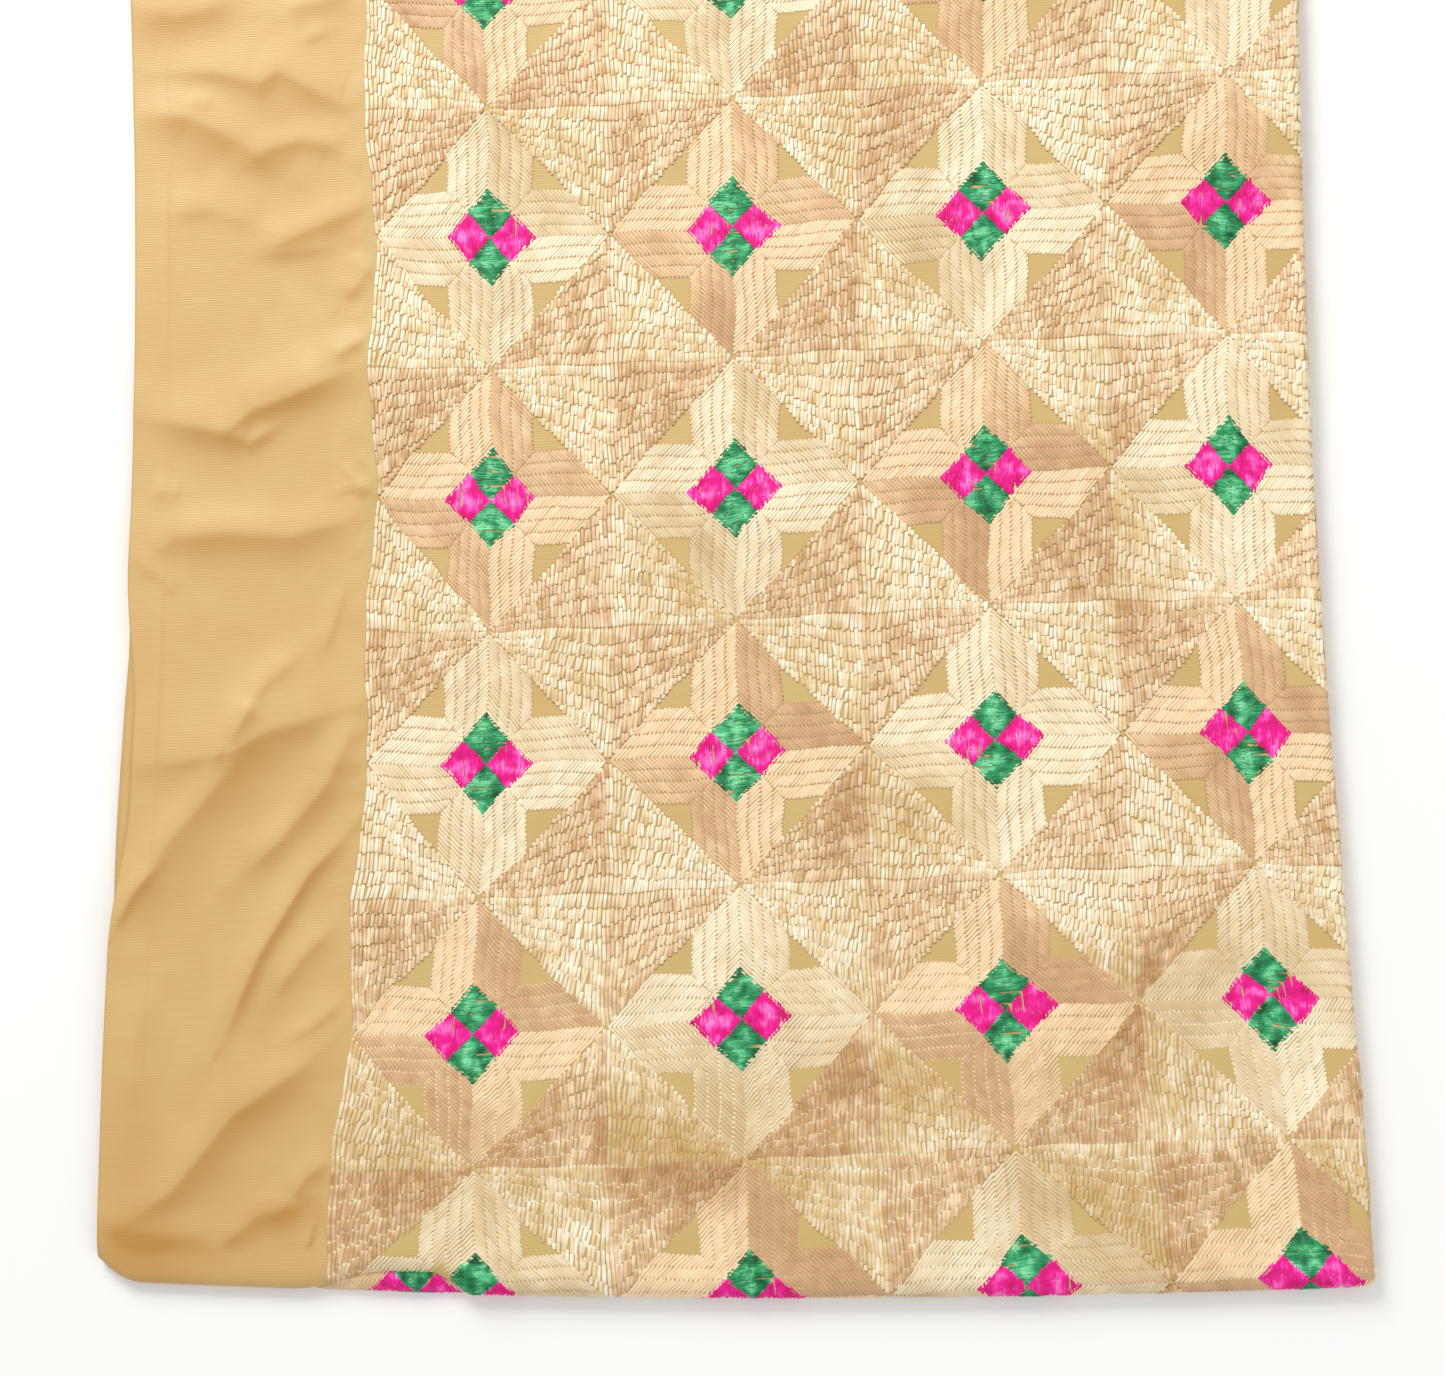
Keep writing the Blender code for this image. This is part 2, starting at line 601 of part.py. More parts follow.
def shown_fold():
    """The length of the lower crosswise fold that shows in front of the top leaf."""
    stops = stations(BACK_AT - 24.0, BACK_AT + 24.0, 4.0)
    front = front_y(stops) + 0.4
    depth = sit_back(stops) - 1.9
    high = np.array((0.0, 0.85, 1.0, 0.97, 0.8, 0.45, 0.12, 0.0)) * 4.2
    share = np.array((1.0, 1.0, 0.8, 0.55, 0.25, 0.0, 0.05, 0.16))
    count = len(share)
    points = []
    for x, y, d in zip(stops, front, depth):
        points.extend((x, y + d * s, z) for s, z in zip(share, high))
    faces = []
    for k in range(len(stops) - 1):
        for i in range(count):
            j = (i + 1) % count
            a, b = k * count + i, k * count + j
            faces.extend(((a, b, b + count), (a, b + count, a + count)))
    last = (len(stops) - 1) * count
    for i in range(1, count - 1):
        faces.extend(((0, i + 1, i), (last, last + i, last + i + 1)))
    return np.array(points), np.array(faces)


def cloth_material(name, colour, roughness):
    """A Principled material for one kind of cloth."""
    material = bpy.data.materials.new(name)
    material.use_nodes = True
    shader = material.node_tree.nodes["Principled BSDF"]
    shader.inputs["Base Color"].default_value = (*colour, 1.0)
    shader.inputs["Roughness"].default_value = roughness
    material.diffuse_color = (*colour, 1.0)
    return material


def outward(points, faces):
    """The faces turned so that they point out of the body."""
    volume = np.linalg.det(points[faces]).sum()
    return faces if volume > 0 else faces[:, ::-1]


def main():
    """Builds the folded shawl with its middle over the origin and its foot at zero."""
    for old in list(bpy.data.objects):
        bpy.data.objects.remove(old, do_unlink=True)
    bodies = {
        "top_leaf": top_leaf(),
        "lower_leaves": lower_leaves(),
        "shown_fold": shown_fold(),
    }
    every = np.concatenate([points for points, _ in bodies.values()])
    low, high = every.min(axis=0), every.max(axis=0)
    shift = np.array([(low[0] + high[0]) / 2, (low[1] + high[1]) / 2, 0.0])
    finishes = {
        "top_leaf": cloth_material("embroidered_cloth", (0.82, 0.66, 0.42), 0.5),
        "lower_leaves": cloth_material("ground_cloth", (0.76, 0.52, 0.24), 0.6),
        "shown_fold": cloth_material("lower_embroidered_cloth", (0.78, 0.6, 0.36), 0.55),
    }
    for name, (points, faces) in bodies.items():
        to_object(name, points - shift, outward(points, faces), finishes[name])
    print("shift", shift.round(4), "low", low.round(3), "high", high.round(3))


main()
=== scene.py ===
"""Phulkari shawl folded in quarters and laid flat: its cloth, its floss and its light.

Lengths are in millimetres on the flat cloth and become metres when a mesh is made.
x runs from the selvedges to the lengthwise fold, y from the crosswise fold to the hems.
A place in the embroidery is a column and a row: stars stand at whole rows and at half
columns, and lozenges fill the places between them.
"""

import logging
import math
from collections.abc import Iterator
from dataclasses import dataclass, field, fields, replace
from enum import Enum
from typing import Protocol

import bpy
import numpy as np
from mathutils import Matrix, Vector


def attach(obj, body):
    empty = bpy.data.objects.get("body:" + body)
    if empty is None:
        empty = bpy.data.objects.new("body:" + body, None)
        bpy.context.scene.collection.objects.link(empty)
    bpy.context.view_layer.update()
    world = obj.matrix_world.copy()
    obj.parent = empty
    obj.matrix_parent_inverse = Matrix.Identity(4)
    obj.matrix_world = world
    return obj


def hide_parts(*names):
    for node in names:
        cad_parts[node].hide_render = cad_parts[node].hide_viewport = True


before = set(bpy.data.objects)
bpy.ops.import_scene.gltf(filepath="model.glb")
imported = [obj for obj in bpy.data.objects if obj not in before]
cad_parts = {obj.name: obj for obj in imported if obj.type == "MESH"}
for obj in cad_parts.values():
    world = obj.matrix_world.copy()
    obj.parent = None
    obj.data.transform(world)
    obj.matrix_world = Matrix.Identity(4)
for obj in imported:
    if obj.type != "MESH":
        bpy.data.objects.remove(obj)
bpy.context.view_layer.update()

log = logging.getLogger("phulkari_shawl")

Points = np.ndarray
Colour = tuple[float, float, float]
Place = tuple[float, float, float]
MM = 0.001

# A whole turn, rounded, for random phases.
WHOLE_TURN = 6.28


def smooth(t: Points | float) -> Points:
    """Rises from 0 to 1 over t from 0 to 1, level at both ends."""
    t = np.clip(t, 0.0, 1.0)
    return t * t * (3.0 - 2.0 * t)


def srgb(red: int, green: int, blue: int) -> Colour:
    """Gives a screen colour's linear values.

    Args:
        red: Red from 0 to 255.
        green: Green from 0 to 255.
        blue: Blue from 0 to 255.

    Returns:
        The linear red, green and blue.
    """
    parts = (red / 255.0, green / 255.0, blue / 255.0)
    low, high = (lambda v: v / 12.92), (lambda v: ((v + 0.055) / 1.055) ** 2.4)
    return tuple(low(v) if v <= 0.04045 else high(v) for v in parts)


# The cloth's form


@dataclass(frozen=True)
class Drift:
    """How far the hand-counted pattern wanders from a true grid, as one polynomial."""

    level: float
    across: float
    along: float
    twist: float
    across2: float
    along2: float
    across2_along: float
    across_along2: float
    across3: float
    along3: float

    def at(self, u: Points, v: Points) -> Points:
        """Gives the wander at u, v, each from -1 to 1 over the near part.

        Args:
            u: Places across.
            v: Places along.

        Returns:
            The wander at each place.
        """
        straight = self.level + self.across * u + self.along * v + self.twist * u * v
        curved = self.across2 * u**2 + self.along2 * v**2
        mixed = self.across2_along * u**2 * v + self.across_along2 * u * v**2
        return straight + curved + mixed + self.across3 * u**3 + self.along3 * v**3


@dataclass(frozen=True)
class Fold:
    """A soft fold along a line of points, steep on its near side and gentle beyond."""

    height: float
    near: float
    far: float
    line: tuple[tuple[float, float], ...]

    def rise(self, x: Points, y: Points) -> Points:
        """Gives the fold's height at places on the cloth.

        Args:
            x: Places across the cloth.
            y: Places along it.

        Returns:
            The height at each place.
        """
        out = np.zeros(np.shape(x))
        points = np.array(self.line, float)
        reach = 2.6 * max(self.near, self.far)
        low, high = points.min(axis=0) - reach, points.max(axis=0) + reach
        close = (x > low[0]) & (x < high[0]) & (y > low[1]) & (y < high[1])
        if not close.any():
            return out
        away, share = self.measure(x[close], y[close], points)
        taper = 0.25 + 0.75 * smooth(3.4 * np.minimum(share, 1.0 - share))
        steep = np.exp(-(np.maximum(-away, 0.0) / self.near) ** 1.25)
        gentle = np.exp(-(np.maximum(away, 0.0) / self.far) ** 2)
        out[close] = self.height * taper * steep * gentle
        return out

    def measure(self, x: Points, y: Points, points: Points) -> tuple[Points, Points]:
        """Finds where places lie by the line.

        Args:
            x: Places across the cloth.
            y: Places along it.
            points: The line's points.

        Returns:
            The distance, positive above the line, and the share along it.
        """
        parts = np.hypot(*np.diff(points, axis=0).T)
        start = np.concatenate([[0.0], np.cumsum(parts)])
        best, share, side = np.full(x.shape, 1e9), np.zeros(x.shape), np.ones(x.shape)
        for i, part in enumerate(parts):
            step = (points[i + 1] - points[i]) / part
            from_x, from_y = x - points[i, 0], y - points[i, 1]
            t = np.clip(from_x * step[0] + from_y * step[1], 0, part)
            d = np.hypot(from_x - t * step[0], from_y - t * step[1])
            cross = (step[0] * from_y - step[1] * from_x) * (1.0 if step[0] >= 0 else -1.0)
            nearer = d < best
            share = np.where(nearer, (start[i] + t) / start[-1], share)
            side = np.where(nearer, np.where(cross < 0, -1.0, 1.0), side)
            best = np.minimum(best, d)
        return best * side, share


# Folds of the plain border from its far frame edge down to the near corner, then the
# ones beyond that no picture shows.
BORDER_FOLDS = (
    Fold(1.3, 9.0, 12.0, ((-105, 556), (-83, 551), (-56, 556))),
    Fold(1.1, 7.0, 11.0, ((-37, 551), (-19, 554), (-4, 558))),
    Fold(1.5, 5.5, 13.0, ((-97, 527), (-66, 524), (-46, 518), (-37, 523), (-10, 506), (3, 507))),
    Fold(0.5, 2.4, 5.0, ((-79, 512), (-66, 509))),
    Fold(0.4, 2.0, 5.0, ((-28, 536), (-14, 540))),
    Fold(1.9, 7.5, 11.0, ((-102, 507), (-77, 504), (-57, 493), (-33, 474))),
    Fold(1.2, 5.0, 8.0, ((-50, 481), (-42, 487), (-28, 491), (-14, 488), (-7, 481))),
    Fold(1.0, 6.0, 12.0, ((-90, 462), (-66, 462), (-44, 452))),
    Fold(1.4, 6.0, 10.0, ((-50, 443), (-34, 446), (-15, 454), (5, 461))),
    Fold(0.5, 3.0, 7.0, ((-46, 440), (-10, 442))),
    Fold(1.0, 4.5, 9.0, ((-8, 418), (6, 436))),
    Fold(0.9, 3.5, 7.0, ((-14, 392), (2, 402))),
    Fold(2.6, 7.0, 17.0, ((-102, 373), (-80, 367), (-60, 362), (-48, 371), (-26, 379), (2, 391))),
    Fold(0.8, 3.0, 5.0, ((-60, 362), (-49, 357), (-36, 364))),
    Fold(0.7, 1.8, 3.6, ((5, 333), (-3, 338), (-11, 347))),
    Fold(0.5, 1.5, 3.0, ((5, 333), (-6, 336), (-14, 334))),
    Fold(0.5, 1.6, 3.2, ((5, 334), (3, 343), (-3, 352))),
    Fold(2.1, 9.0, 12.0, ((4, 330), (-10, 321), (-31, 316), (-55, 318), (-80, 318), (-98, 308))),
    Fold(0.7, 4.0, 7.0, ((-93, 338), (-78, 336))),
    Fold(0.5, 2.0, 6.0, ((-99, 308), (-88, 300), (-80, 292))),
    Fold(0.6, 2.4, 5.0, ((-7, 297), (-13, 276), (-19, 262))),
    Fold(1.5, 5.5, 9.0, ((-24, 268), (-43, 252), (-55, 231))),
    Fold(0.9, 4.0, 7.0, ((-44, 246), (-57, 228))),
    Fold(2.7, 9.0, 22.0, ((-101, 221), (-76, 222), (-55, 225), (-40, 233), (-20, 238), (3, 246))),
    Fold(2.2, 7.5, 9.0, ((-1, 240), (-15, 210), (-35, 187), (-54, 171))),
    Fold(2.4, 10.0, 10.0, ((-48, 226), (-66, 206), (-84, 186), (-96, 166), (-108, 152))),
    Fold(0.7, 2.0, 5.0, ((-106, 150), (-98, 166), (-86, 178))),
    Fold(2.0, 3.6, 8.0, ((-3, 193), (-23, 172), (-44, 139), (-60, 103))),
    Fold(1.3, 5.0, 7.0, ((-11, 153), (-25, 139), (-38, 122))),
    Fold(0.8, 2.6, 6.0, ((-6, 122), (-21, 110), (-35, 103))),
    Fold(2.7, 9.0, 12.0, ((-8, 110), (-29, 91), (-54, 75), (-80, 44), (-108, 27))),
    Fold(0.8, 8.0, 10.0, ((-88, 132), (-97, 104), (-98, 74))),
    Fold(1.2, 4.6, 7.0, ((-13, 57), (-24, 49), (-30, 40))),
    Fold(1.3, 6.0, 7.0, ((-24, 39), (-44, 34), (-62, 20))),
    Fold(0.9, 10.0, 9.0, ((-60, 28), (-80, 25), (-102, 24))),
    Fold(0.6, 1.4, 3.0, ((-20, 33), (-23, 20))),
    Fold(2.2, 8.0, 13.0, ((-98, 644), (-60, 636), (-30, 622), (1, 626))),
    Fold(1.7, 6.0, 10.0, ((-80, 600), (-48, 592), (-16, 600))),
    Fold(2.4, 8.0, 15.0, ((-104, 720), (-62, 708), (-25, 720), (-2, 742))),
    Fold(2.0, 7.0, 10.0, ((-8, 672), (-38, 694), (-58, 728))),
    Fold(2.2, 9.0, 14.0, ((-108, 810), (-70, 816), (-34, 804), (-4, 786))),
    Fold(1.6, 6.0, 9.0, ((-88, 764), (-52, 768))),
    Fold(2.4, 8.0, 14.0, ((-4, 866), (-32, 882), (-66, 876), (-106, 888))),
    Fold(1.8, 7.0, 11.0, ((-16, 934), (-46, 916), (-78, 922))),
    Fold(2.2, 9.0, 15.0, ((-102, 982), (-64, 972), (-24, 988), (2, 1008))),
    Fold(1.8, 8.0, 12.0, ((-96, 1050), (-58, 1058), (-20, 1044))),
    Fold(1.5, 8.0, 12.0, ((60, 1094), (120, 1084), (190, 1096))),
    Fold(1.5, 8.0, 12.0, ((250, 1080), (310, 1096), (366, 1088))),
)


@dataclass(frozen=True)
class Nudge:
    """How far a column of stars sits off the drift, at the near fold and one row up."""

    column: float
    fold: tuple[float, float]
    row: tuple[float, float]


NEAR_NUDGES = (
    Nudge(0.0, (0.0, 0.0), (0.0, 0.0)),
    Nudge(0.5, (7.0, 0.0), (-1.2, -0.6)),
    Nudge(1.5, (4.3, -4.9), (1.2, 1.0)),
    Nudge(2.5, (-2.5, -4.3), (-2.3, -1.0)),
    Nudge(3.5, (-3.7, -2.5), (-2.3, 2.2)),
)


@dataclass(frozen=True)
class Bow:
    """An edge that sways slowly from side to side along the cloth."""

    level: float
    swing: float
    middle: float
    period: float

    def at(self, y: Points) -> Points:
        """Gives the edge's place across the cloth."""
        return self.level + self.swing * np.cos(2 * np.pi * (y - self.middle) / self.period)


@dataclass(frozen=True)
class Ellipse:
    """Arc lengths round half an ellipse, counted from its top."""

    wide: float
    high: float
    steps: int = 361

    def angle(self, length: Points) -> Points:
        """Gives the angle that each arc length reaches."""
        lengths, angles = self.table()
        return np.interp(length, lengths, angles)

    def length(self, angle: float) -> float:
        """Gives the arc length up to an angle."""
        lengths, angles = self.table()
        return float(np.interp(angle, angles, lengths))

    def table(self) -> tuple[Points, Points]:
        """Gives matching arc lengths and angles.

        Returns:
            The lengths, and the angles that they reach.
        """
        angle = np.linspace(0.0, math.pi, self.steps)
        step = np.hypot(self.wide * np.cos(angle), self.high * np.sin(angle))
        middle = (step[1:] + step[:-1]) / 2 * np.diff(angle)
        return np.concatenate([[0.0], np.cumsum(middle)]), angle


@dataclass(frozen=True)
class FoldedCloth:
    """Where each place of the top leaf lies: its outline, its rolls and its creases."""

    pitch_x: float = 105.0
    pitch_y: float = 110.0
    rows: float = 9.5
    far_end: float = 1130.0
    strip_top: float = 6.2
    field_top: float = 7.8
    top_ramp: float = 12.0
    side_roll: float = 4.0
    side_share: float = 0.243
    near_roll: float = 9.0
    side_turn: float = math.radians(150)
    near_turn: float = math.radians(165)
    side_sewn: float = math.radians(128)
    near_sewn: float = math.radians(140)
    selvedge: Bow = Bow(-106.0, 5.5, 400.0, 780.0)
    side_fold: Bow = Bow(398.2, -3.2, 310.0, 700.0)
    front_middle: float = 230.0
    front_half: float = 330.0
    front_bow: float = 9.0
    front_level: float = -1.0
    corner_x: float = -111.0
    corner_reach: float = 18.0
    corner_back: float = 9.0
    far_sway: float = 1.5
    far_period: float = 90.0
    peek_middle: float = 222.0
    peek_half: float = 66.0
    peek_depth: float = 6.0
    sit_depth: float = 8.4
    sit_span: tuple[float, float] = (-30.0, 45.0)
    sit_ramps: tuple[float, float] = (42.0, 15.0)
    scallop: float = 4.0
    hem: float = 8.0
    hem_height: float = 0.55
    blend: float = 12.0
    shift: tuple[float, float] = (145.2283, 565.3852)
    drift_x: Drift = Drift(0.2, -0.4, 2.5, -7.1, -4.1, 3.6, 0.0, 15.6, -8.3, -0.6)
    drift_y: Drift = Drift(-1.2, 4.7, 1.1, -3.7, -1.6, 6.5, 2.5, 0.8, -6.2, -0.4)
    drift_columns: tuple[float, float] = (0.0, 3.9)
    drift_rows: tuple[float, float] = (-0.2, 4.6)
    drift_ease: float = 0.8
    drift_middle: tuple[float, float] = (2.0, 2.5)
    folds: tuple[Fold, ...] = BORDER_FOLDS

    @property
    def side_arc(self) -> Ellipse:
        """The round of the lengthwise fold."""
        return Ellipse(self.side_roll, self.side_share * self.field_top)

    @property
    def near_arc(self) -> Ellipse:
        """The round of the crosswise fold."""
        return Ellipse(self.near_roll, self.field_top / 2)

    def selvedge_x(self, y: Points) -> Points:
        """Gives the line of the lowest selvedge."""
        return self.selvedge.at(y)

    def peek(self, y: Points) -> Points:
        """Gives how much the second leaf shows beside the top one, from 0 to 1."""
        return smooth(1.25 - np.abs(y - self.peek_middle) / self.peek_half)

    def leaf_edge_x(self, y: Points) -> Points:
        """Gives the top leaf's selvedge, which sits back where the one below shows."""
        return self.selvedge_x(y) + self.peek_depth * self.peek(y)

    def side_fold_x(self, y: Points) -> Points:
        """Gives the outermost line of the lengthwise fold."""
        return self.side_fold.at(y)

    def front_y(self, x: Points) -> Points:
        """Gives the outermost line of the crosswise fold.

        Args:
            x: Places across the cloth.

        Returns:
            The line at each place.
        """
        bow = self.front_bow * ((x - self.front_middle) / self.front_half) ** 2
        corner = np.clip(1.0 - (x - self.corner_x) / self.corner_reach, 0.0, 1.0)
        return bow + self.front_level + self.corner_back * corner**2

    def sit_back(self, x: Points) -> Points:
        """Gives how far the top leaf's near fold sits back behind the lower one.

        Args:
            x: Places across the cloth.

        Returns:
            The distance at each place.
        """
        left, right = self.sit_span
        left_ramp, right_ramp = self.sit_ramps
        return self.sit_depth * smooth((x - left) / left_ramp) * smooth((right - x) / right_ramp)

    def near_roll_y(self, x: Points) -> Points:
        """Gives the line where the top leaf starts to roll down at the near fold."""
        return self.front_y(x) + self.sit_back(x) + self.near_roll

    def side_roll_x(self, y: Points) -> Points:
        """Gives the line where the top leaf starts to roll down at the side fold."""
        return self.side_fold_x(y) - self.side_roll

    def far_y(self, x: Points) -> Points:
        """Gives the hemmed end of the top leaf."""
        return self.far_end + self.far_sway * np.sin(x / self.far_period)

    def wander(self, c: Points, r: Points) -> tuple[Points, Points]:
        """Gives the pattern's drift at columns and rows, across and along.

        Args:
            c: Columns.
            r: Rows.

        Returns:
            The drift across and along.
        """
        first, last = self.drift_rows
        beyond = np.maximum(r, last) - last
        rows = np.minimum(r, last) + self.drift_ease * np.tanh(beyond / self.drift_ease)
        mid_column, mid_row = self.drift_middle
        u = (np.clip(c, *self.drift_columns) - mid_column) / mid_column
        v = (np.maximum(rows, first) - mid_row) / mid_row
        pull = self.scallop * (0.5 - 0.5 * np.cos(2 * np.pi * r))
        pull = pull * np.exp(-np.clip(c, 0, 9) / 0.15)
        across, along = self.nudge(c, r)
        return self.drift_x.at(u, v) - pull + across, self.drift_y.at(u, v) + along

    def nudge(self, c: Points, r: Points) -> tuple[Points, Points]:
        """Gives the further shifts of the rows beside the near fold.

        Args:
            c: Columns.
            r: Rows.

        Returns:
            The shifts across and along.
        """
        up = np.clip(r, 0.0, 1.0)
        fade = 1.0 - smooth(r - 1.0)
        columns = [n.column for n in NEAR_NUDGES]
        low = [np.interp(c, columns, part) for part in zip(*(n.fold for n in NEAR_NUDGES))]
        high = [np.interp(c, columns, part) for part in zip(*(n.row for n in NEAR_NUDGES))]
        across, along = ((a * (1.0 - up) + b * up) * fade for a, b in zip(low, high))
        return across, along

    def plan(self, c: Points, r: Points) -> tuple[Points, Points]:
        """Gives where columns and rows lie on the cloth before it rolls."""
        dx, dy = self.wander(c, r)
        return self.pitch_x * c + dx, self.pitch_y * r + dy

    def field_edge_x(self, y: Points) -> Points:
        """Gives the embroidery's edge beside the plain border.

        Args:
            y: Places along the cloth.

        Returns:
            The edge at each place.
        """
        r = y / self.pitch_y
        for _ in range(6):
            r = (y - self.wander(0.0 * r, r)[1]) / self.pitch_y
        return self.wander(0.0 * r, r)[0]

    def stack_top(self, x: Points, y: Points) -> Points:
        """Gives the top of the four leaves without creases or embroidery.

        Args:
            x: Places across the cloth.
            y: Places along it.

        Returns:
            The height at each place.
        """
        inward = smooth((x + self.top_ramp) / (2 * self.top_ramp))
        end = (y - self.pitch_y * self.rows + self.top_ramp) / (2 * self.top_ramp)
        rise = self.field_top - self.strip_top
        return self.strip_top + rise * inward * (1.0 - smooth(end))

    def relief(self, x: Points, y: Points) -> Points:
        """Gives the creases and the slow waves of the top leaf.

        Args:
            x: Places across the cloth.
            y: Places along it.

        Returns:
            The height above the plain stack.
        """
        z = 0.35 * np.sin(x / 31.0 + y / 57.0) * np.sin(y / 43.0 - x / 70.0)
        for fold in self.folds:
            z = z + fold.rise(x, y)
        z = z + self.puckers(x, y) + self.hem_rise(x, y)
        from_side = smooth((self.side_roll_x(y) - x) / self.blend)
        from_near = smooth((y - self.near_roll_y(x)) / self.blend)
        return z * from_side * from_near

    def hem_rise(self, x: Points, y: Points) -> Points:
        """Gives the height of the turned hem at the far end.

        Args:
            x: Places across the cloth.
            y: Places along it.

        Returns:
            The height above the cloth.
        """
        inside = y - (self.far_y(x) - self.hem)
        turned = self.hem_height * smooth((inside + 1.5) / 2.5)
        drawn = 0.16 * np.sin(x / 2.6 + np.sin(x / 31.0)) * np.exp(-((inside - 1.0) / 3.5) ** 2)
        return turned + drawn * (inside > -9.0)

    def puckers(self, x: Points, y: Points) -> Points:
        """Gives the small gathers that the tight floss draws in the plain border.

        Args:
            x: Places across the cloth.
            y: Places along it.

        Returns:
            The height of the gathers.
        """
        beside = np.clip(-x - 1.0, 0.0, None)
        waves = np.sin(y / 2.3 + 1.9 * np.sin(y / 17.0)) + 0.7 * np.sin(y / 4.1 + 2.0)
        length = 5.0 + 3.0 * np.sin(y / 29.0) + 2.0 * np.sin(y / 11.0)
        return 0.1 * waves * np.exp(-beside / length) * smooth((2.0 - x) / 4.0)

    def place(self, x: Points, y: Points, lift: Points | float) -> Points:
        """Places points of the top leaf in the row frame.

        Args:
            x: Places across the flat cloth.
            y: Places along the flat cloth.
            lift: Height above the ground cloth's face, or below it.

        Returns:
            Points in metres, with x, y and z last.
        """
        top = self.stack_top(x, y)
        middle = self.stack_top(x, self.near_roll_y(x)) / 2
        roll = self.side_share * top
        past = np.maximum(x - self.side_roll_x(y), 0.0)
        turn = self.side_arc.angle(past)
        round_x = self.side_roll_x(y) + (self.side_roll + lift) * np.sin(turn)
        side_x = np.where(past > 0, round_x, x)
        drop = -lift + (roll + lift) * (1.0 - np.cos(turn))
        before = np.maximum(self.near_roll_y(x) - y, 0.0)
        bend = self.near_arc.angle(before)
        left = np.maximum(1.0 - drop / middle, 0.02)
        reach = self.near_roll * left ** (middle / self.near_roll)
        rolled = before > 0
        out_y = np.where(rolled, self.near_roll_y(x) - reach * np.sin(bend), y)
        height = np.where(rolled, middle + middle * left * np.cos(bend), top - drop)
        height = height + self.relief(x, y)
        return self.metres(side_x, out_y, height)

    def covers(self, at: Points) -> Points:
        """Tells which places lie on the leaf, counting what has rolled out of sight.

        Args:
            at: Places on the flat cloth, one to a row.

        Returns:
            Whether each lies on the leaf.
        """
        side = at[:, 0] - self.side_roll_x(at[:, 1])
        near = self.near_roll_y(at[:, 0]) - at[:, 1]
        side_end = self.side_arc.length(self.side_sewn)
        near_end = self.near_arc.length(self.near_sewn)
        return (side < side_end) & (near < near_end)

    def curved(self, at: Points) -> Points:
        """Tells which places lie on a roll.

        Args:
            at: Places on the flat cloth, one to a row.

        Returns:
            Whether each lies on a roll.
        """
        side = at[:, 0] - self.side_roll_x(at[:, 1])
        near = self.near_roll_y(at[:, 0]) - at[:, 1]
        return (side > -1.0) | (near > -1.0)

    def metres(self, x: Points, y: Points, z: Points) -> Points:
        """Gives points of the shawl's own plan as points of the row frame."""
        flat = np.broadcast_arrays(x - self.shift[0], y - self.shift[1], z)
        return np.stack(flat, axis=-1) * MM


# Shader groups and finishes


class Sockets(Enum):
    """The kinds of socket that the shader groups use."""

    NUMBER = "NodeSocketFloat"
    COLOUR = "NodeSocketColor"


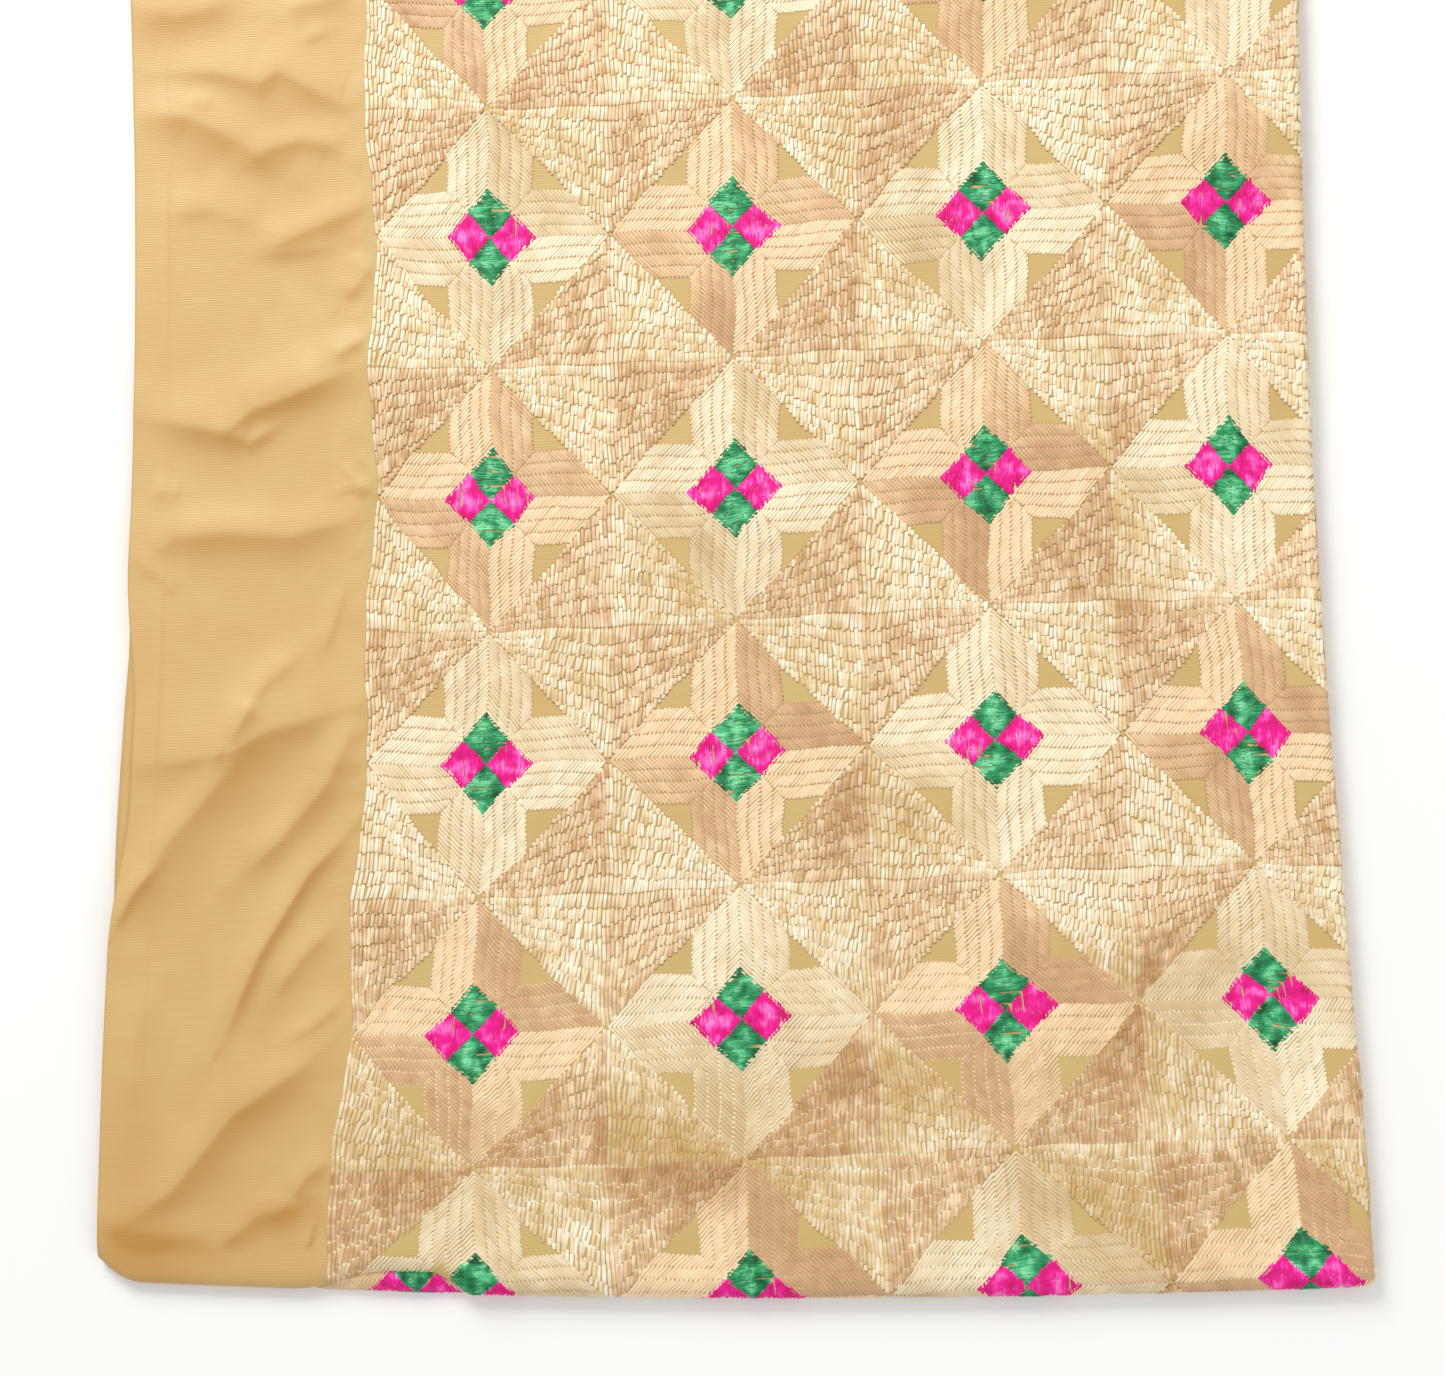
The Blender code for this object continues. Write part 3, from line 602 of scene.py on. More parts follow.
@dataclass
class Shading:
    """A node tree with short ways to add and join nodes."""

    tree: bpy.types.NodeTree

    def node(self, kind: str, **values: object) -> bpy.types.Node:
        """Adds a node.

        Args:
            kind: The node's Blender type without its Shader prefix.
            **values: Its properties.

        Returns:
            The node.
        """
        made = self.tree.nodes.new("ShaderNode" + kind)
        for name, value in values.items():
            setattr(made, name, value)
        return made

    def join(self, source: bpy.types.NodeSocket, target: bpy.types.NodeSocket) -> None:
        """Links an output to an input."""
        self.tree.links.new(source, target)

    def maths(self, operation: str, first: object, second: object) -> bpy.types.NodeSocket:
        """Adds a maths node with sockets or numbers on its inputs.

        Args:
            operation: The node's operation.
            first: A socket or a number.
            second: Another socket or number.

        Returns:
            The result.
        """
        made = self.node("Math", operation=operation)
        for socket, value in zip(made.inputs, (first, second)):
            if isinstance(value, bpy.types.NodeSocket):
                self.join(value, socket)
            else:
                socket.default_value = value
        return made.outputs[0]

    def blend(self, factor: object, first: object, second: object) -> bpy.types.NodeSocket:
        """Adds a colour mix with sockets or colours on its inputs.

        Args:
            factor: How much of the second colour, as a socket or a number.
            first: A socket or a colour.
            second: Another socket or colour.

        Returns:
            The mixed colour.
        """
        made = self.node("Mix", data_type="RGBA")
        for name, value in (("Factor", factor), ("A", first), ("B", second)):
            wanted = "VALUE" if name == "Factor" else "RGBA"
            socket = next(s for s in made.inputs if s.name == name and s.type == wanted)
            if isinstance(value, bpy.types.NodeSocket):
                self.join(value, socket)
            elif wanted == "RGBA":
                socket.default_value = (*value, 1.0)
            else:
                socket.default_value = value
        return next(s for s in made.outputs if s.type == "RGBA")

    def clamp(self, value: bpy.types.NodeSocket) -> bpy.types.NodeSocket:
        """Holds a value between 0 and 1.

        Args:
            value: The socket of the value.

        Returns:
            The socket of the held value.
        """
        held = self.node("Clamp")
        self.join(value, held.inputs[0])
        return held.outputs[0]

    def flat_place(self) -> bpy.types.NodeSocket:
        """Gives where each point lies on the flat cloth, in metres."""
        return self.node("Attribute", attribute_name="flat_place").outputs["Vector"]

    def tones(self, name: str) -> list[bpy.types.NodeSocket]:
        """Gives the three numbers that a piece keeps at each point under a name.

        Args:
            name: The name.

        Returns:
            The three numbers' sockets.
        """
        kept = self.node("Attribute", attribute_name=name)
        parts = self.node("SeparateColor")
        self.join(kept.outputs["Color"], parts.inputs[0])
        return list(parts.outputs)

    def noise(self, scale: object, detail: float,
              stretch: Place | None = None) -> bpy.types.NodeSocket:
        """Adds a noise over the flat cloth.

        Args:
            scale: How many spots it has in a metre, as a number or a socket.
            detail: How much finer noise it has on it.
            stretch: How much denser it is in each direction.

        Returns:
            The noise, about 0.5.
        """
        at = self.flat_place()
        if stretch is not None:
            mapping = self.node("Mapping")
            mapping.inputs["Scale"].default_value = stretch
            self.join(at, mapping.inputs["Vector"])
            at = mapping.outputs[0]
        made = self.node("TexNoise")
        made.inputs["Detail"].default_value = detail
        self.join(at, made.inputs["Vector"])
        if isinstance(scale, bpy.types.NodeSocket):
            self.join(scale, made.inputs["Scale"])
        else:
            made.inputs["Scale"].default_value = scale
        return made.outputs[0]

    def group(self, tree: bpy.types.NodeTree, **values: object) -> bpy.types.Node:
        """Adds a shared group with its own values.

        Args:
            tree: The group.
            **values: Its numbers and colours by the names of its inputs.

        Returns:
            The group's node.
        """
        made = self.node("Group", node_tree=tree)
        set_inputs(made, values)
        return made


def set_inputs(node: bpy.types.Node, values: dict[str, object]) -> None:
    """Sets a node's own inputs.

    Args:
        node: The node.
        values: Numbers and colours by the names of its inputs.
    """
    for name, value in values.items():
        node.inputs[name].default_value = (*value, 1.0) if isinstance(value, tuple) else value


def new_group(name: str, sockets: dict[str, Sockets], gives: dict[str, Sockets]) -> Shading:
    """Makes an empty shader group with its sockets.

    Args:
        name: The group's name.
        sockets: Input names and kinds.
        gives: Output names and kinds.

    Returns:
        The group's tree, with a Group Input and a Group Output node.
    """
    tree = bpy.data.node_groups.new(name, "ShaderNodeTree")
    for label, kind in sockets.items():
        tree.interface.new_socket(label, in_out="INPUT", socket_type=kind.value)
    for label, kind in gives.items():
        tree.interface.new_socket(label, in_out="OUTPUT", socket_type=kind.value)
    tree.nodes.new("NodeGroupInput")
    tree.nodes.new("NodeGroupOutput")
    return Shading(tree)


class SharedEffects:
    """The shader groups that several finishes use, each built once."""

    def __init__(self) -> None:
        """Builds every group."""
        self.floss_tone = self.make_floss_tone()
        self.ribbed_weave = self.make_ribbed_weave()
        self.soft_mottle = self.make_soft_mottle()

    def make_floss_tone(self) -> bpy.types.NodeTree:
        """Builds the colour of floss.

        It changes from stroke to stroke and from place to place, partly at random and partly as
        painted sheen. It has painted shade where strokes meet and dive into the cloth, and fine
        threads streak along it, partly their own unevenness and partly painted sheen.

        Returns:
            The group.
        """
        gives = {"Colour": Sockets.COLOUR, "Dullness": Sockets.NUMBER}
        wants = {name: Sockets.COLOUR for name in ("Bright", "Body", "Deep")}
        wants |= {name: Sockets.NUMBER for name in ("Streaks", "Blotches", "Spread")}
        shade = new_group("floss_tone", wants, gives)
        given = shade.tree.nodes["Group Input"].outputs
        # Per point: random tone with painted glints, painted shade where the floss dives in, and
        # painted sheen shade.
        varied, depth, patch = shade.tones("stroke")
        thread = shade.maths("SUBTRACT", shade.noise(1.0, 2.0, (2200.0, 130.0, 1.0)), 0.5)
        streak = shade.maths("MULTIPLY", thread, given["Streaks"])
        spots = shade.maths("SUBTRACT", shade.noise(170.0, 1.5), 0.5)
        blotch = shade.maths("MULTIPLY", spots, given["Blotches"])
        lit = shade.maths("ADD", shade.maths("MULTIPLY", varied, given["Spread"]), streak)
        lit = shade.maths("SUBTRACT", lit, shade.maths("MULTIPLY", patch, 0.6))
        lit = shade.clamp(shade.maths("ADD", lit, blotch))
        body = shade.blend(lit, given["Body"], given["Bright"])
        # Painted sheen shade, with random blotches, turns the colour towards Deep.
        sheen_and_blotch = shade.maths("SUBTRACT", shade.maths("MULTIPLY", patch, 0.55), blotch)
        sheen_and_blotch_shaded = shade.blend(shade.clamp(sheen_and_blotch), body, given["Deep"])
        # Painted shade at the sides and ends of strokes, where they dive into the cloth.
        edge = shade.maths("POWER", depth, 4.0)
        sunk = shade.blend(shade.maths("MULTIPLY", edge, 0.95), sheen_and_blotch_shaded, given["Deep"])
        out = shade.tree.nodes["Group Output"].inputs
        shade.join(sunk, out["Colour"])
        dull = shade.maths("ADD", shade.maths("MULTIPLY", varied, 0.1), streak)
        shade.join(shade.maths("ADD", dull, shade.maths("MULTIPLY", depth, 0.2)), out["Dullness"])
        return shade.tree

    def make_ribbed_weave(self) -> bpy.types.NodeTree:
        """Builds the fine cross ribs and the threads of the ground cloth.

        Returns:
            The group.
        """
        gives = {"Height": Sockets.NUMBER, "Thread": Sockets.NUMBER}
        wants = {"Rib": Sockets.NUMBER, "Warp": Sockets.NUMBER, "Slub": Sockets.NUMBER}
        shade = new_group("ribbed_weave", wants, gives)
        given = shade.tree.nodes["Group Input"].outputs
        parts = shade.node("SeparateXYZ")
        shade.join(shade.flat_place(), parts.inputs[0])
        slub = shade.maths("SUBTRACT", shade.noise(22.0, 3.0, (0.25, 5.0, 1.0)), 0.5)
        bent = shade.maths("ADD", parts.outputs[1], shade.maths("MULTIPLY", slub, 0.0012))
        rib = shade.maths("SINE", shade.maths("MULTIPLY", bent, given["Rib"]), 0.0)
        rib = shade.maths("ABSOLUTE", rib, 0.0)
        warp = shade.maths("MULTIPLY", parts.outputs[0], given["Warp"])
        warp = shade.maths("ABSOLUTE", shade.maths("SINE", warp, 0.0), 0.0)
        thread = shade.maths("MULTIPLY", slub, given["Slub"])
        height = shade.maths("ADD", shade.maths("MULTIPLY", warp, 0.25), rib)
        out = shade.tree.nodes["Group Output"].inputs
        shade.join(shade.maths("ADD", height, thread), out["Height"])
        # The Thread output adds a share of the ribs, which the ground's colour shows as a painted
        # highlight.
        shade.join(shade.maths("ADD", thread, shade.maths("MULTIPLY", rib, 0.35)), out["Thread"])
        return shade.tree

    def make_soft_mottle(self) -> bpy.types.NodeTree:
        """Builds slow patches of lighter and darker dye and a little soiling.

        Returns:
            The group.
        """
        gives = {"Mask": Sockets.NUMBER}
        shade = new_group("soft_mottle", {"Scale": Sockets.NUMBER}, gives)
        given = shade.tree.nodes["Group Input"].outputs
        spread = shade.node("MapRange")
        set_inputs(spread, {"From Min": 0.34, "From Max": 0.66})
        shade.join(shade.noise(given["Scale"], 4.0), spread.inputs["Value"])
        shade.join(spread.outputs[0], shade.tree.nodes["Group Output"].inputs["Mask"])
        return shade.tree


@dataclass(frozen=True)
class FlossFinish:
    """Silk-like floss in satin strokes."""

    name: str
    bright: Colour
    body: Colour
    deep: Colour
    streaks: float = 0.0
    blotches: float = 0.0
    spread: float = 0.8
    roughness: float = 0.4
    sheen: float = 0.15
    gloss: float = 0.6

    def build(self, effects: SharedEffects) -> bpy.types.Material:
        """Makes the material.

        Args:
            effects: The shared shader groups.

        Returns:
            The material.
        """
        material, shade, surface = bare_material(self.name, self.body)
        tone = shade.group(effects.floss_tone, Bright=self.bright, Body=self.body, Deep=self.deep,
                           Streaks=self.streaks, Blotches=self.blotches, Spread=self.spread)
        shade.join(tone.outputs["Colour"], surface.inputs["Base Color"])
        rough = shade.maths("ADD", tone.outputs["Dullness"], self.roughness - 0.1)
        shade.join(rough, surface.inputs["Roughness"])
        set_inputs(surface, {"Sheen Weight": self.sheen, "Sheen Roughness": 0.4,
                             "Specular IOR Level": self.gloss})
        return material


@dataclass(frozen=True)
class GroundFinish:
    """The gold ribbed ground cloth, with a painted highlight on its crests and painted shade, more
    orange, in its hollows.
    """

    name: str
    crest: Colour
    body: Colour
    hollow_shade: Colour
    under_floss: Colour
    roughness: float = 0.5
    rib_pitch: float = 0.00115
    warp_pitch: float = 0.0006

    def build(self, effects: SharedEffects) -> bpy.types.Material:
        """Makes the material.

        Args:
            effects: The shared shader groups.

        Returns:
            The material.
        """
        material, shade, surface = bare_material(self.name, self.body)
        lit, shaded, under = shade.tones("fold_tone")
        weave = shade.group(effects.ribbed_weave, Rib=math.pi / self.rib_pitch,
                            Warp=math.pi / self.warp_pitch, Slub=0.9)
        broad = shade.group(effects.soft_mottle, Scale=14.0).outputs[0]
        small = shade.group(effects.soft_mottle, Scale=75.0).outputs[0]
        thread = shade.maths("MULTIPLY", weave.outputs["Thread"], 0.2)
        # The crest colour is the painted highlight, the hollow colour the painted shade, and
        # under_floss the bare ground's own colour in the field.
        tint = shade.blend(lit, self.body, self.crest)
        tint = shade.blend(under, tint, self.under_floss)
        tint = shade.blend(shaded, tint, self.hollow_shade)
        tint = shade.blend(shade.maths("MULTIPLY", broad, 0.2), tint, self.hollow_shade)
        tint = shade.blend(shade.maths("MULTIPLY", small, 0.12), tint, self.hollow_shade)
        # The weave's threads, uneven in tone, with the ribs drawn lighter as a painted highlight.
        tint = shade.blend(thread, tint, self.crest)
        shade.join(tint, surface.inputs["Base Color"])
        rough = shade.maths("ADD", shade.maths("MULTIPLY", broad, 0.12), self.roughness - 0.06)
        shade.join(rough, surface.inputs["Roughness"])
        bump = shade.node("Bump")
        set_inputs(bump, {"Strength": 0.45, "Distance": 0.0001})
        shade.join(weave.outputs["Height"], bump.inputs["Height"])
        shade.join(bump.outputs[0], surface.inputs["Normal"])
        set_inputs(surface, {"Sheen Weight": 0.3, "Sheen Roughness": 0.35})
        return material


def bare_material(name: str,
                  colour: Colour) -> tuple[bpy.types.Material, Shading, bpy.types.Node]:
    """Makes a material with one Principled shader.

    Args:
        name: The material's name.
        colour: Its viewport colour.

    Returns:
        The material, its tree and the shader.
    """
    material = bpy.data.materials.new(name)
    material.use_nodes = True
    material.diffuse_color = (*colour, 1.0)
    surface = material.node_tree.nodes["Principled BSDF"]
    set_inputs(surface, {"Base Color": colour})
    return material, Shading(material.node_tree), surface


# Each floss has a bright colour for lighter strokes and painted glints, a body colour, and a deep
# colour for painted shade where strokes dive in and for painted sheen shade. The ground's crest
# colour is a painted highlight, its hollow colour painted shade, and under_floss the bare ground's
# own colour in the field.
FINISHES = (
    FlossFinish("cream_floss", srgb(255, 248, 224), srgb(247, 229, 190), srgb(176, 136, 80),
                streaks=0.3, blotches=0.3),
    FlossFinish("peach_floss", srgb(255, 232, 196), srgb(248, 213, 166), srgb(158, 106, 60),
                streaks=0.3, blotches=0.4),
    FlossFinish("cream_satin", srgb(255, 252, 236), srgb(240, 215, 160), srgb(174, 127, 50),
                streaks=0.8, blotches=0.9, spread=1.05),
    FlossFinish("peach_satin", srgb(255, 237, 204), srgb(225, 185, 131), srgb(152, 98, 40),
                streaks=0.8, blotches=0.9, spread=1.15),
    FlossFinish("green_floss", srgb(146, 238, 182), srgb(52, 180, 114), srgb(2, 78, 42),
                streaks=1.0, blotches=2.6, spread=0.8, roughness=0.5, sheen=0.02, gloss=0.35),
    FlossFinish("pink_floss", srgb(255, 154, 234), srgb(255, 26, 170), srgb(204, 0, 102),
                streaks=1.0, blotches=2.6, spread=0.6, roughness=0.5, sheen=0.0, gloss=0.3),
    GroundFinish("gold_ground", srgb(214, 182, 124), srgb(205, 171, 110), srgb(188, 136, 62),
                 srgb(202, 176, 114)),
)


# Meshes


@dataclass
class MeshParts:
    """Points and faces of one piece, with what its material reads from them."""

    points: Points
    faces: list[Points]
    flat: Points
    tone: Points
    tone_name: str

    def to_object(self, name: str, material: bpy.types.Material) -> bpy.types.Object:
        """Makes the piece's object.

        Args:
            name: The piece's name.
            material: Its material.

        Returns:
            The object, smooth shaded.
        """
        mesh = bpy.data.meshes.new(name)
        corners = np.concatenate([f.ravel() for f in self.faces])
        sides = np.concatenate([np.full(len(f), f.shape[1]) for f in self.faces])
        starts = np.concatenate([[0], np.cumsum(sides)[:-1]])
        mesh.vertices.add(len(self.points))
        mesh.vertices.foreach_set("co", self.points.astype(np.float32).ravel())
        mesh.loops.add(len(corners))
        mesh.loops.foreach_set("vertex_index", corners.astype(np.int32))
        mesh.polygons.add(len(sides))
        mesh.polygons.foreach_set("loop_start", starts.astype(np.int32))
        mesh.polygons.foreach_set("use_smooth", np.ones(len(sides), bool))
        mesh.update(calc_edges=True)
        mesh.validate()
        flat = np.concatenate([self.flat * MM, np.zeros((len(self.flat), 1))], axis=1)
        place = mesh.attributes.new("flat_place", "FLOAT_VECTOR", "POINT")
        place.data.foreach_set("vector", flat.astype(np.float32).ravel())
        tone = mesh.attributes.new(self.tone_name, "FLOAT_COLOR", "POINT")
        full = np.concatenate([self.tone, np.ones((len(self.tone), 1))], axis=1)
        tone.data.foreach_set("color", full.astype(np.float32).ravel())
        self.lay_map(mesh)
        mesh.materials.append(material)
        obj = bpy.data.objects.new(name, mesh)
        bpy.context.scene.collection.objects.link(obj)
        return obj

    def lay_map(self, mesh: bpy.types.Mesh) -> None:
        """Lays the texture map as the flat cloth lies, so that neighbours stay neighbours.

        Args:
            mesh: The piece's mesh.
        """
        corner = np.empty(len(mesh.loops), np.int32)
        mesh.loops.foreach_get("vertex_index", corner)
        low = self.flat.min(axis=0)
        size = float((self.flat.max(axis=0) - low).max())
        layer = mesh.uv_layers.new(name="OFBake")
        at = ((self.flat - low) / size * 0.996 + 0.002)[corner]
        layer.uv.foreach_set("vector", at.astype(np.float32).ravel())


def grid_faces(rows: int, columns: int, flip: bool = False, start: int = 0) -> Points:
    """Gives the four-sided faces of a grid of points stored row by row.

    Args:
        rows: How many rows of points.
        columns: How many points in a row.
        flip: Whether the faces look the other way.
        start: The index of the grid's first point.

    Returns:
        The faces.
    """
    i, j = np.meshgrid(np.arange(rows - 1), np.arange(columns - 1), indexing="ij")
    a = (i * columns + j).ravel() + start
    quads = np.stack([a, a + 1, a + columns + 1, a + columns], axis=1)
    return quads[:, ::-1] if flip else quads


def rim_of(rows: int, columns: int) -> Points:
    """Gives the indices round a grid's rim, in order."""
    index = np.arange(rows * columns).reshape(rows, columns)
    return np.concatenate([index[0, :], index[1:, -1], index[-1, -2::-1], index[-2:0:-1, 0]])


def shell(outer: Points, inner: Points, flat: Points, tone: Points,
          tone_name: str) -> MeshParts:
    """Makes a thin closed shell from two grids of points.

    Args:
        outer: The face that is seen, rows by columns by 3, with odd counts.
        inner: The hidden face on the same grid, of which every other point is used.
        flat: Where each point lies on the flat cloth.
        tone: What the material reads at each point.
        tone_name: The name under which it reads that.

    Returns:
        The shell.
    """
    rows, columns = outer.shape[:2]
    sparse = inner[::2, ::2]
    few_rows, few_columns = sparse.shape[:2]
    second = rows * columns
    out_rim = rim_of(rows, columns)
    in_rim = rim_of(few_rows, few_columns) + second
    a, b, c = out_rim[::2], out_rim[1::2], np.roll(out_rim[::2], -1)
    d, e = in_rim, np.roll(in_rim, -1)
    walls = np.concatenate([np.stack(t, axis=1) for t in ((b, a, d), (b, d, e), (c, b, e))])
    faces = [grid_faces(rows, columns), grid_faces(few_rows, few_columns, True, second), walls]
    points, flats, tones = (
        np.concatenate([seen.reshape(-1, seen.shape[2]), hidden.reshape(-1, seen.shape[2])])
        for seen, hidden in ((outer, sparse), (flat, flat[::2, ::2]), (tone, tone[::2, ::2])))
    return MeshParts(points, faces, flats, tones, tone_name)


# Embroidery


class Floss(Enum):
    """The four colours of floss."""

    CREAM = "cream"
    PEACH = "peach"
    GREEN = "green"
    PINK = "pink"


@dataclass
class Strokes:
    """Strokes of floss, in columns and rows of the pattern or laid out on the flat cloth.

    The sides and tips are how much painted shade a stroke gets at its sides and near its ends, and
    the outline is how much painted shade it gets at its start and at its end.
    """

    start: Points
    end: Points
    width: Points | float
    crest: Points | float
    sides: Points | float = 1.0
    tips: Points | float = 1.0
    outline: Points | float = 0.0

    def moved(self, column: float, row: float) -> "Strokes":
        """Gives the same strokes round another centre."""
        by = np.array([column, row])
        return replace(self, start=self.start + by, end=self.end + by)

    def turned(self, swap: bool, across: int, along: int) -> "Strokes":
        """Gives the strokes of a mirrored or turned motif.

        Args:
            swap: Whether the two directions change places.
            across: 1, or -1 to mirror across.
            along: 1, or -1 to mirror along.

        Returns:
            The strokes in their new direction.
        """
        sign = np.array([across, along])
        order = [1, 0] if swap else [0, 1]
        return replace(self, start=self.start[:, order] * sign, end=self.end[:, order] * sign)

    def picked(self, chosen: Points) -> "Strokes":
        """Gives some of the strokes, where each has its own numbers."""
        return Strokes(*(getattr(self, part.name)[chosen] for part in fields(self)))


def gathered(strokes: list[Strokes]) -> Strokes:
    """Joins lists of strokes into one.

    Args:
        strokes: Lists whose strokes share their width and the like.

    Returns:
        All the strokes, each with its own numbers.
    """
    pairs = ("start", "end", "outline")
    parts = {}
    for part in fields(Strokes):
        shape = (2,) if part.name in pairs else ()
        parts[part.name] = np.concatenate(
            [np.zeros((len(s.start), *shape)) + getattr(s, part.name) for s in strokes])
    return Strokes(**parts)


@dataclass(frozen=True)
class Petal:
    """One half of a star's petal, filled with slanting strokes in rows along it."""

    heart: float = 0.36
    rows: int = 4
    lowest: float = 0.17
    highest: float = 1.12
    pitch: float = 0.0322
    stagger: float = 0.4
    slope: float = 1.06
    width: float = 1.22
    crest: float = 0.48
    sides: float = 0.84
    tips: float = 1.08

    def strokes(self) -> Strokes:
        """Gives the strokes of the half that lies right of the petal's middle.

        Returns:
            The strokes, round the middle of their star.
        """
        wide = self.heart / self.rows
        found: list[tuple[float, float, float, float]] = []
        for i in range(self.rows):
            first = self.lowest + self.stagger * self.pitch * (i % 2)
            for top in np.arange(first, self.highest, self.pitch):
                part = self.cut(i * wide, wide, float(top))
                if part is not None:
                    found.append(part)
        ends = np.array(found) / 2.0
        return Strokes(ends[:, :2], ends[:, 2:], self.width, self.crest, self.sides,
                       self.tips)

    def cut(self, start: float, wide: float,
            top: float) -> tuple[float, float, float, float] | None:
        """Trims a stroke of one row to the petal's outline, or drops it.

        Args:
            start: The row's inner side.
            wide: The row's width.
            top: The stroke's height at the inner side.

        Returns:
            Where the stroke starts and ends, or nothing if too little is left.
        """
        share = np.linspace(0.0, 1.0, 41)
        across = start + wide * share
        along = top - self.slope * wide * share
        low = np.where(across < self.heart / 2, self.heart - across, across)
        good = (along > low - 0.008) & (along < 1.0 - across + 0.004)
        if good.sum() < 5:
            return None
        kept = np.flatnonzero(good)
        a, b = kept[0], kept[-1]
        return float(across[a]), float(along[a]), float(across[b]), float(along[b])


@dataclass(frozen=True)
class Lozenge:
    """A lozenge between four stars, filled with upright strokes in rows that fan out.

    The drift, wave, zigzag and jitter of its rows are shares of a stroke's length.
    """

    rows: float = 8.0
    pitch: float = 0.0315
    drift: float = 0.04
    wave: float = 0.13
    zigzag: float = 0.07
    jitter: float = 0.05
    lap: float = 0.05
    width: float = 1.7
    crest: float = 0.64
    sides: float = 0.92
    tips: float = 1.35

    def half(self, side: int, up: int, rng: np.random.Generator) -> Strokes:
        """Gives the strokes of one quarter.

        Args:
            side: -1 for the left half, 1 for the right.
            up: 1 for the upper half, -1 for the lower.
            rng: The source of small differences.

        Returns:
            The quarter's strokes.
        """
        found: list[tuple[float, float, float, float]] = []
        phase = rng.uniform(0.0, WHOLE_TURN, 24)
        rough = rng.uniform(0.5, 1.5)
        slant = rng.uniform(0.02, 0.18)
        drift = 0.0
        for i, across in enumerate(np.arange(self.pitch / 2, 0.992, self.pitch)):
            tall = 1.0 - float(across)
            step = (0.34 + 0.66 * tall) / self.rows
            count = max(1, int(round(tall / step + 0.15)))
            order = np.arange(1, count)
            drift = 0.6 * drift + rng.normal(0.0, self.drift * rough)
            wave = self.wave * np.sin(8.0 * across + phase[order]) + drift
            zigzag = self.zigzag * (-1) ** i
            jitter = rng.normal(0.0, self.jitter * rough, count - 1)
            inner = (order + wave + zigzag + jitter) * step
            marks = np.concatenate([[0.0], np.minimum(inner, tall - 0.3 * step), [tall]])
            for low, high in zip(marks[:-1], marks[1:]):
                lap = self.lap * (high - low) * (low > 0)
                bend = slant + 0.07 * math.sin(7.0 * across + phase[0]) + rng.normal(0.0, 0.07)
                lean = bend * (high - low) * up * float(smooth(across / 0.16))
                x = float(across) * side
                found.append((x, up * (low - lap), x + lean, up * high))
        ends = np.array(found) / 2.0
        return Strokes(ends[:, :2], ends[:, 2:], self.width, self.crest, self.sides,
                       self.tips)


@dataclass(frozen=True)
class Heart:
    """The four small diamonds at the middle of a star."""

    half: float = 0.19
    pitch: float = 0.0172
    width: float = 1.3
    crest: float = 0.66
    missed: float = 0.025
    tips: float = 1.2
    # How much painted shade the strokes get towards the diamond's edge.
    outline: float = 0.8

    def diamond(self, rng: np.random.Generator) -> Strokes:
        """Gives the flat strokes of one diamond that stands above the centre.

        Args:
            rng: The source of small differences.

        Returns:
            The strokes.
        """
        found: list[tuple[float, ...]] = []
        turn = rng.uniform(0.0, WHOLE_TURN)
        for along in np.arange(0.4 * self.pitch, 2 * self.half, self.pitch):
            wide = self.half - abs(float(along) - self.half) + 0.004
            count = 1 if wide < 0.07 else 2 if wide < 0.15 else 3
            marks = np.linspace(-wide, wide, count + 1)
            marks += 0.007 * math.sin(17.0 * float(along) + turn)
            marks += rng.normal(0.0, 0.0015, count + 1)
            marks[1:-1] += rng.normal(0.0, 0.035, count - 1)
            # Painted shade at the ends that lie on the diamond's edge.
            dark = np.zeros(count + 1)
            dark[[0, -1]] = self.outline
            for i in range(count):
                a, b = float(marks[i]), float(marks[i + 1])
                tilt = rng.normal(0.0, 0.006)
                lap = 0.01 if i else 0.0
                if rng.random() > self.missed:
                    found.append((a - lap, along + tilt, b, along - tilt, dark[i], dark[i + 1]))
        table = np.array(found)
        ends = table[:, :4] / 2.0
        return Strokes(ends[:, :2], ends[:, 2:], self.width, self.crest, 1.0, self.tips,
                       table[:, 4:])


@dataclass(frozen=True)
class ShadeSpot:
    """A soft spot of painted shade, or of painted highlight if negative; dull gives its strength.
    """

    x: float
    y: float
    reach_x: float
    reach_y: float
    dull: float

    def at(self, x: Points, y: Points) -> Points:
        """Gives the spot's strength at places on the cloth."""
        far = ((x - self.x) / self.reach_x) ** 2 + ((y - self.y) / self.reach_y) ** 2
        return self.dull * np.exp(-far)


# Spots of painted sheen on the floss: darker where positive, brighter where negative.
SHEEN_SPOTS = (
    ShadeSpot(62, 500, 20, 20, 0.3),
    ShadeSpot(238, 470, 26, 60, 0.35),
    ShadeSpot(130, 330, 16, 50, 0.3),
    ShadeSpot(316, 300, 22, 30, 0.25),
    ShadeSpot(215, 190, 30, 22, 0.4),
    ShadeSpot(330, 120, 60, 22, 0.5),
    ShadeSpot(240, 84, 70, 16, 0.45),
    ShadeSpot(60, 66, 40, 14, 0.5),
    ShadeSpot(150, 50, 60, 14, 0.4),
    ShadeSpot(300, 40, 40, 12, 0.45),
    ShadeSpot(120, 160, 60, 22, -0.3),
    ShadeSpot(300, 220, 50, 24, -0.3),
    ShadeSpot(30, 130, 24, 20, -0.25),
    ShadeSpot(70, 22, 50, 12, -0.35),
)


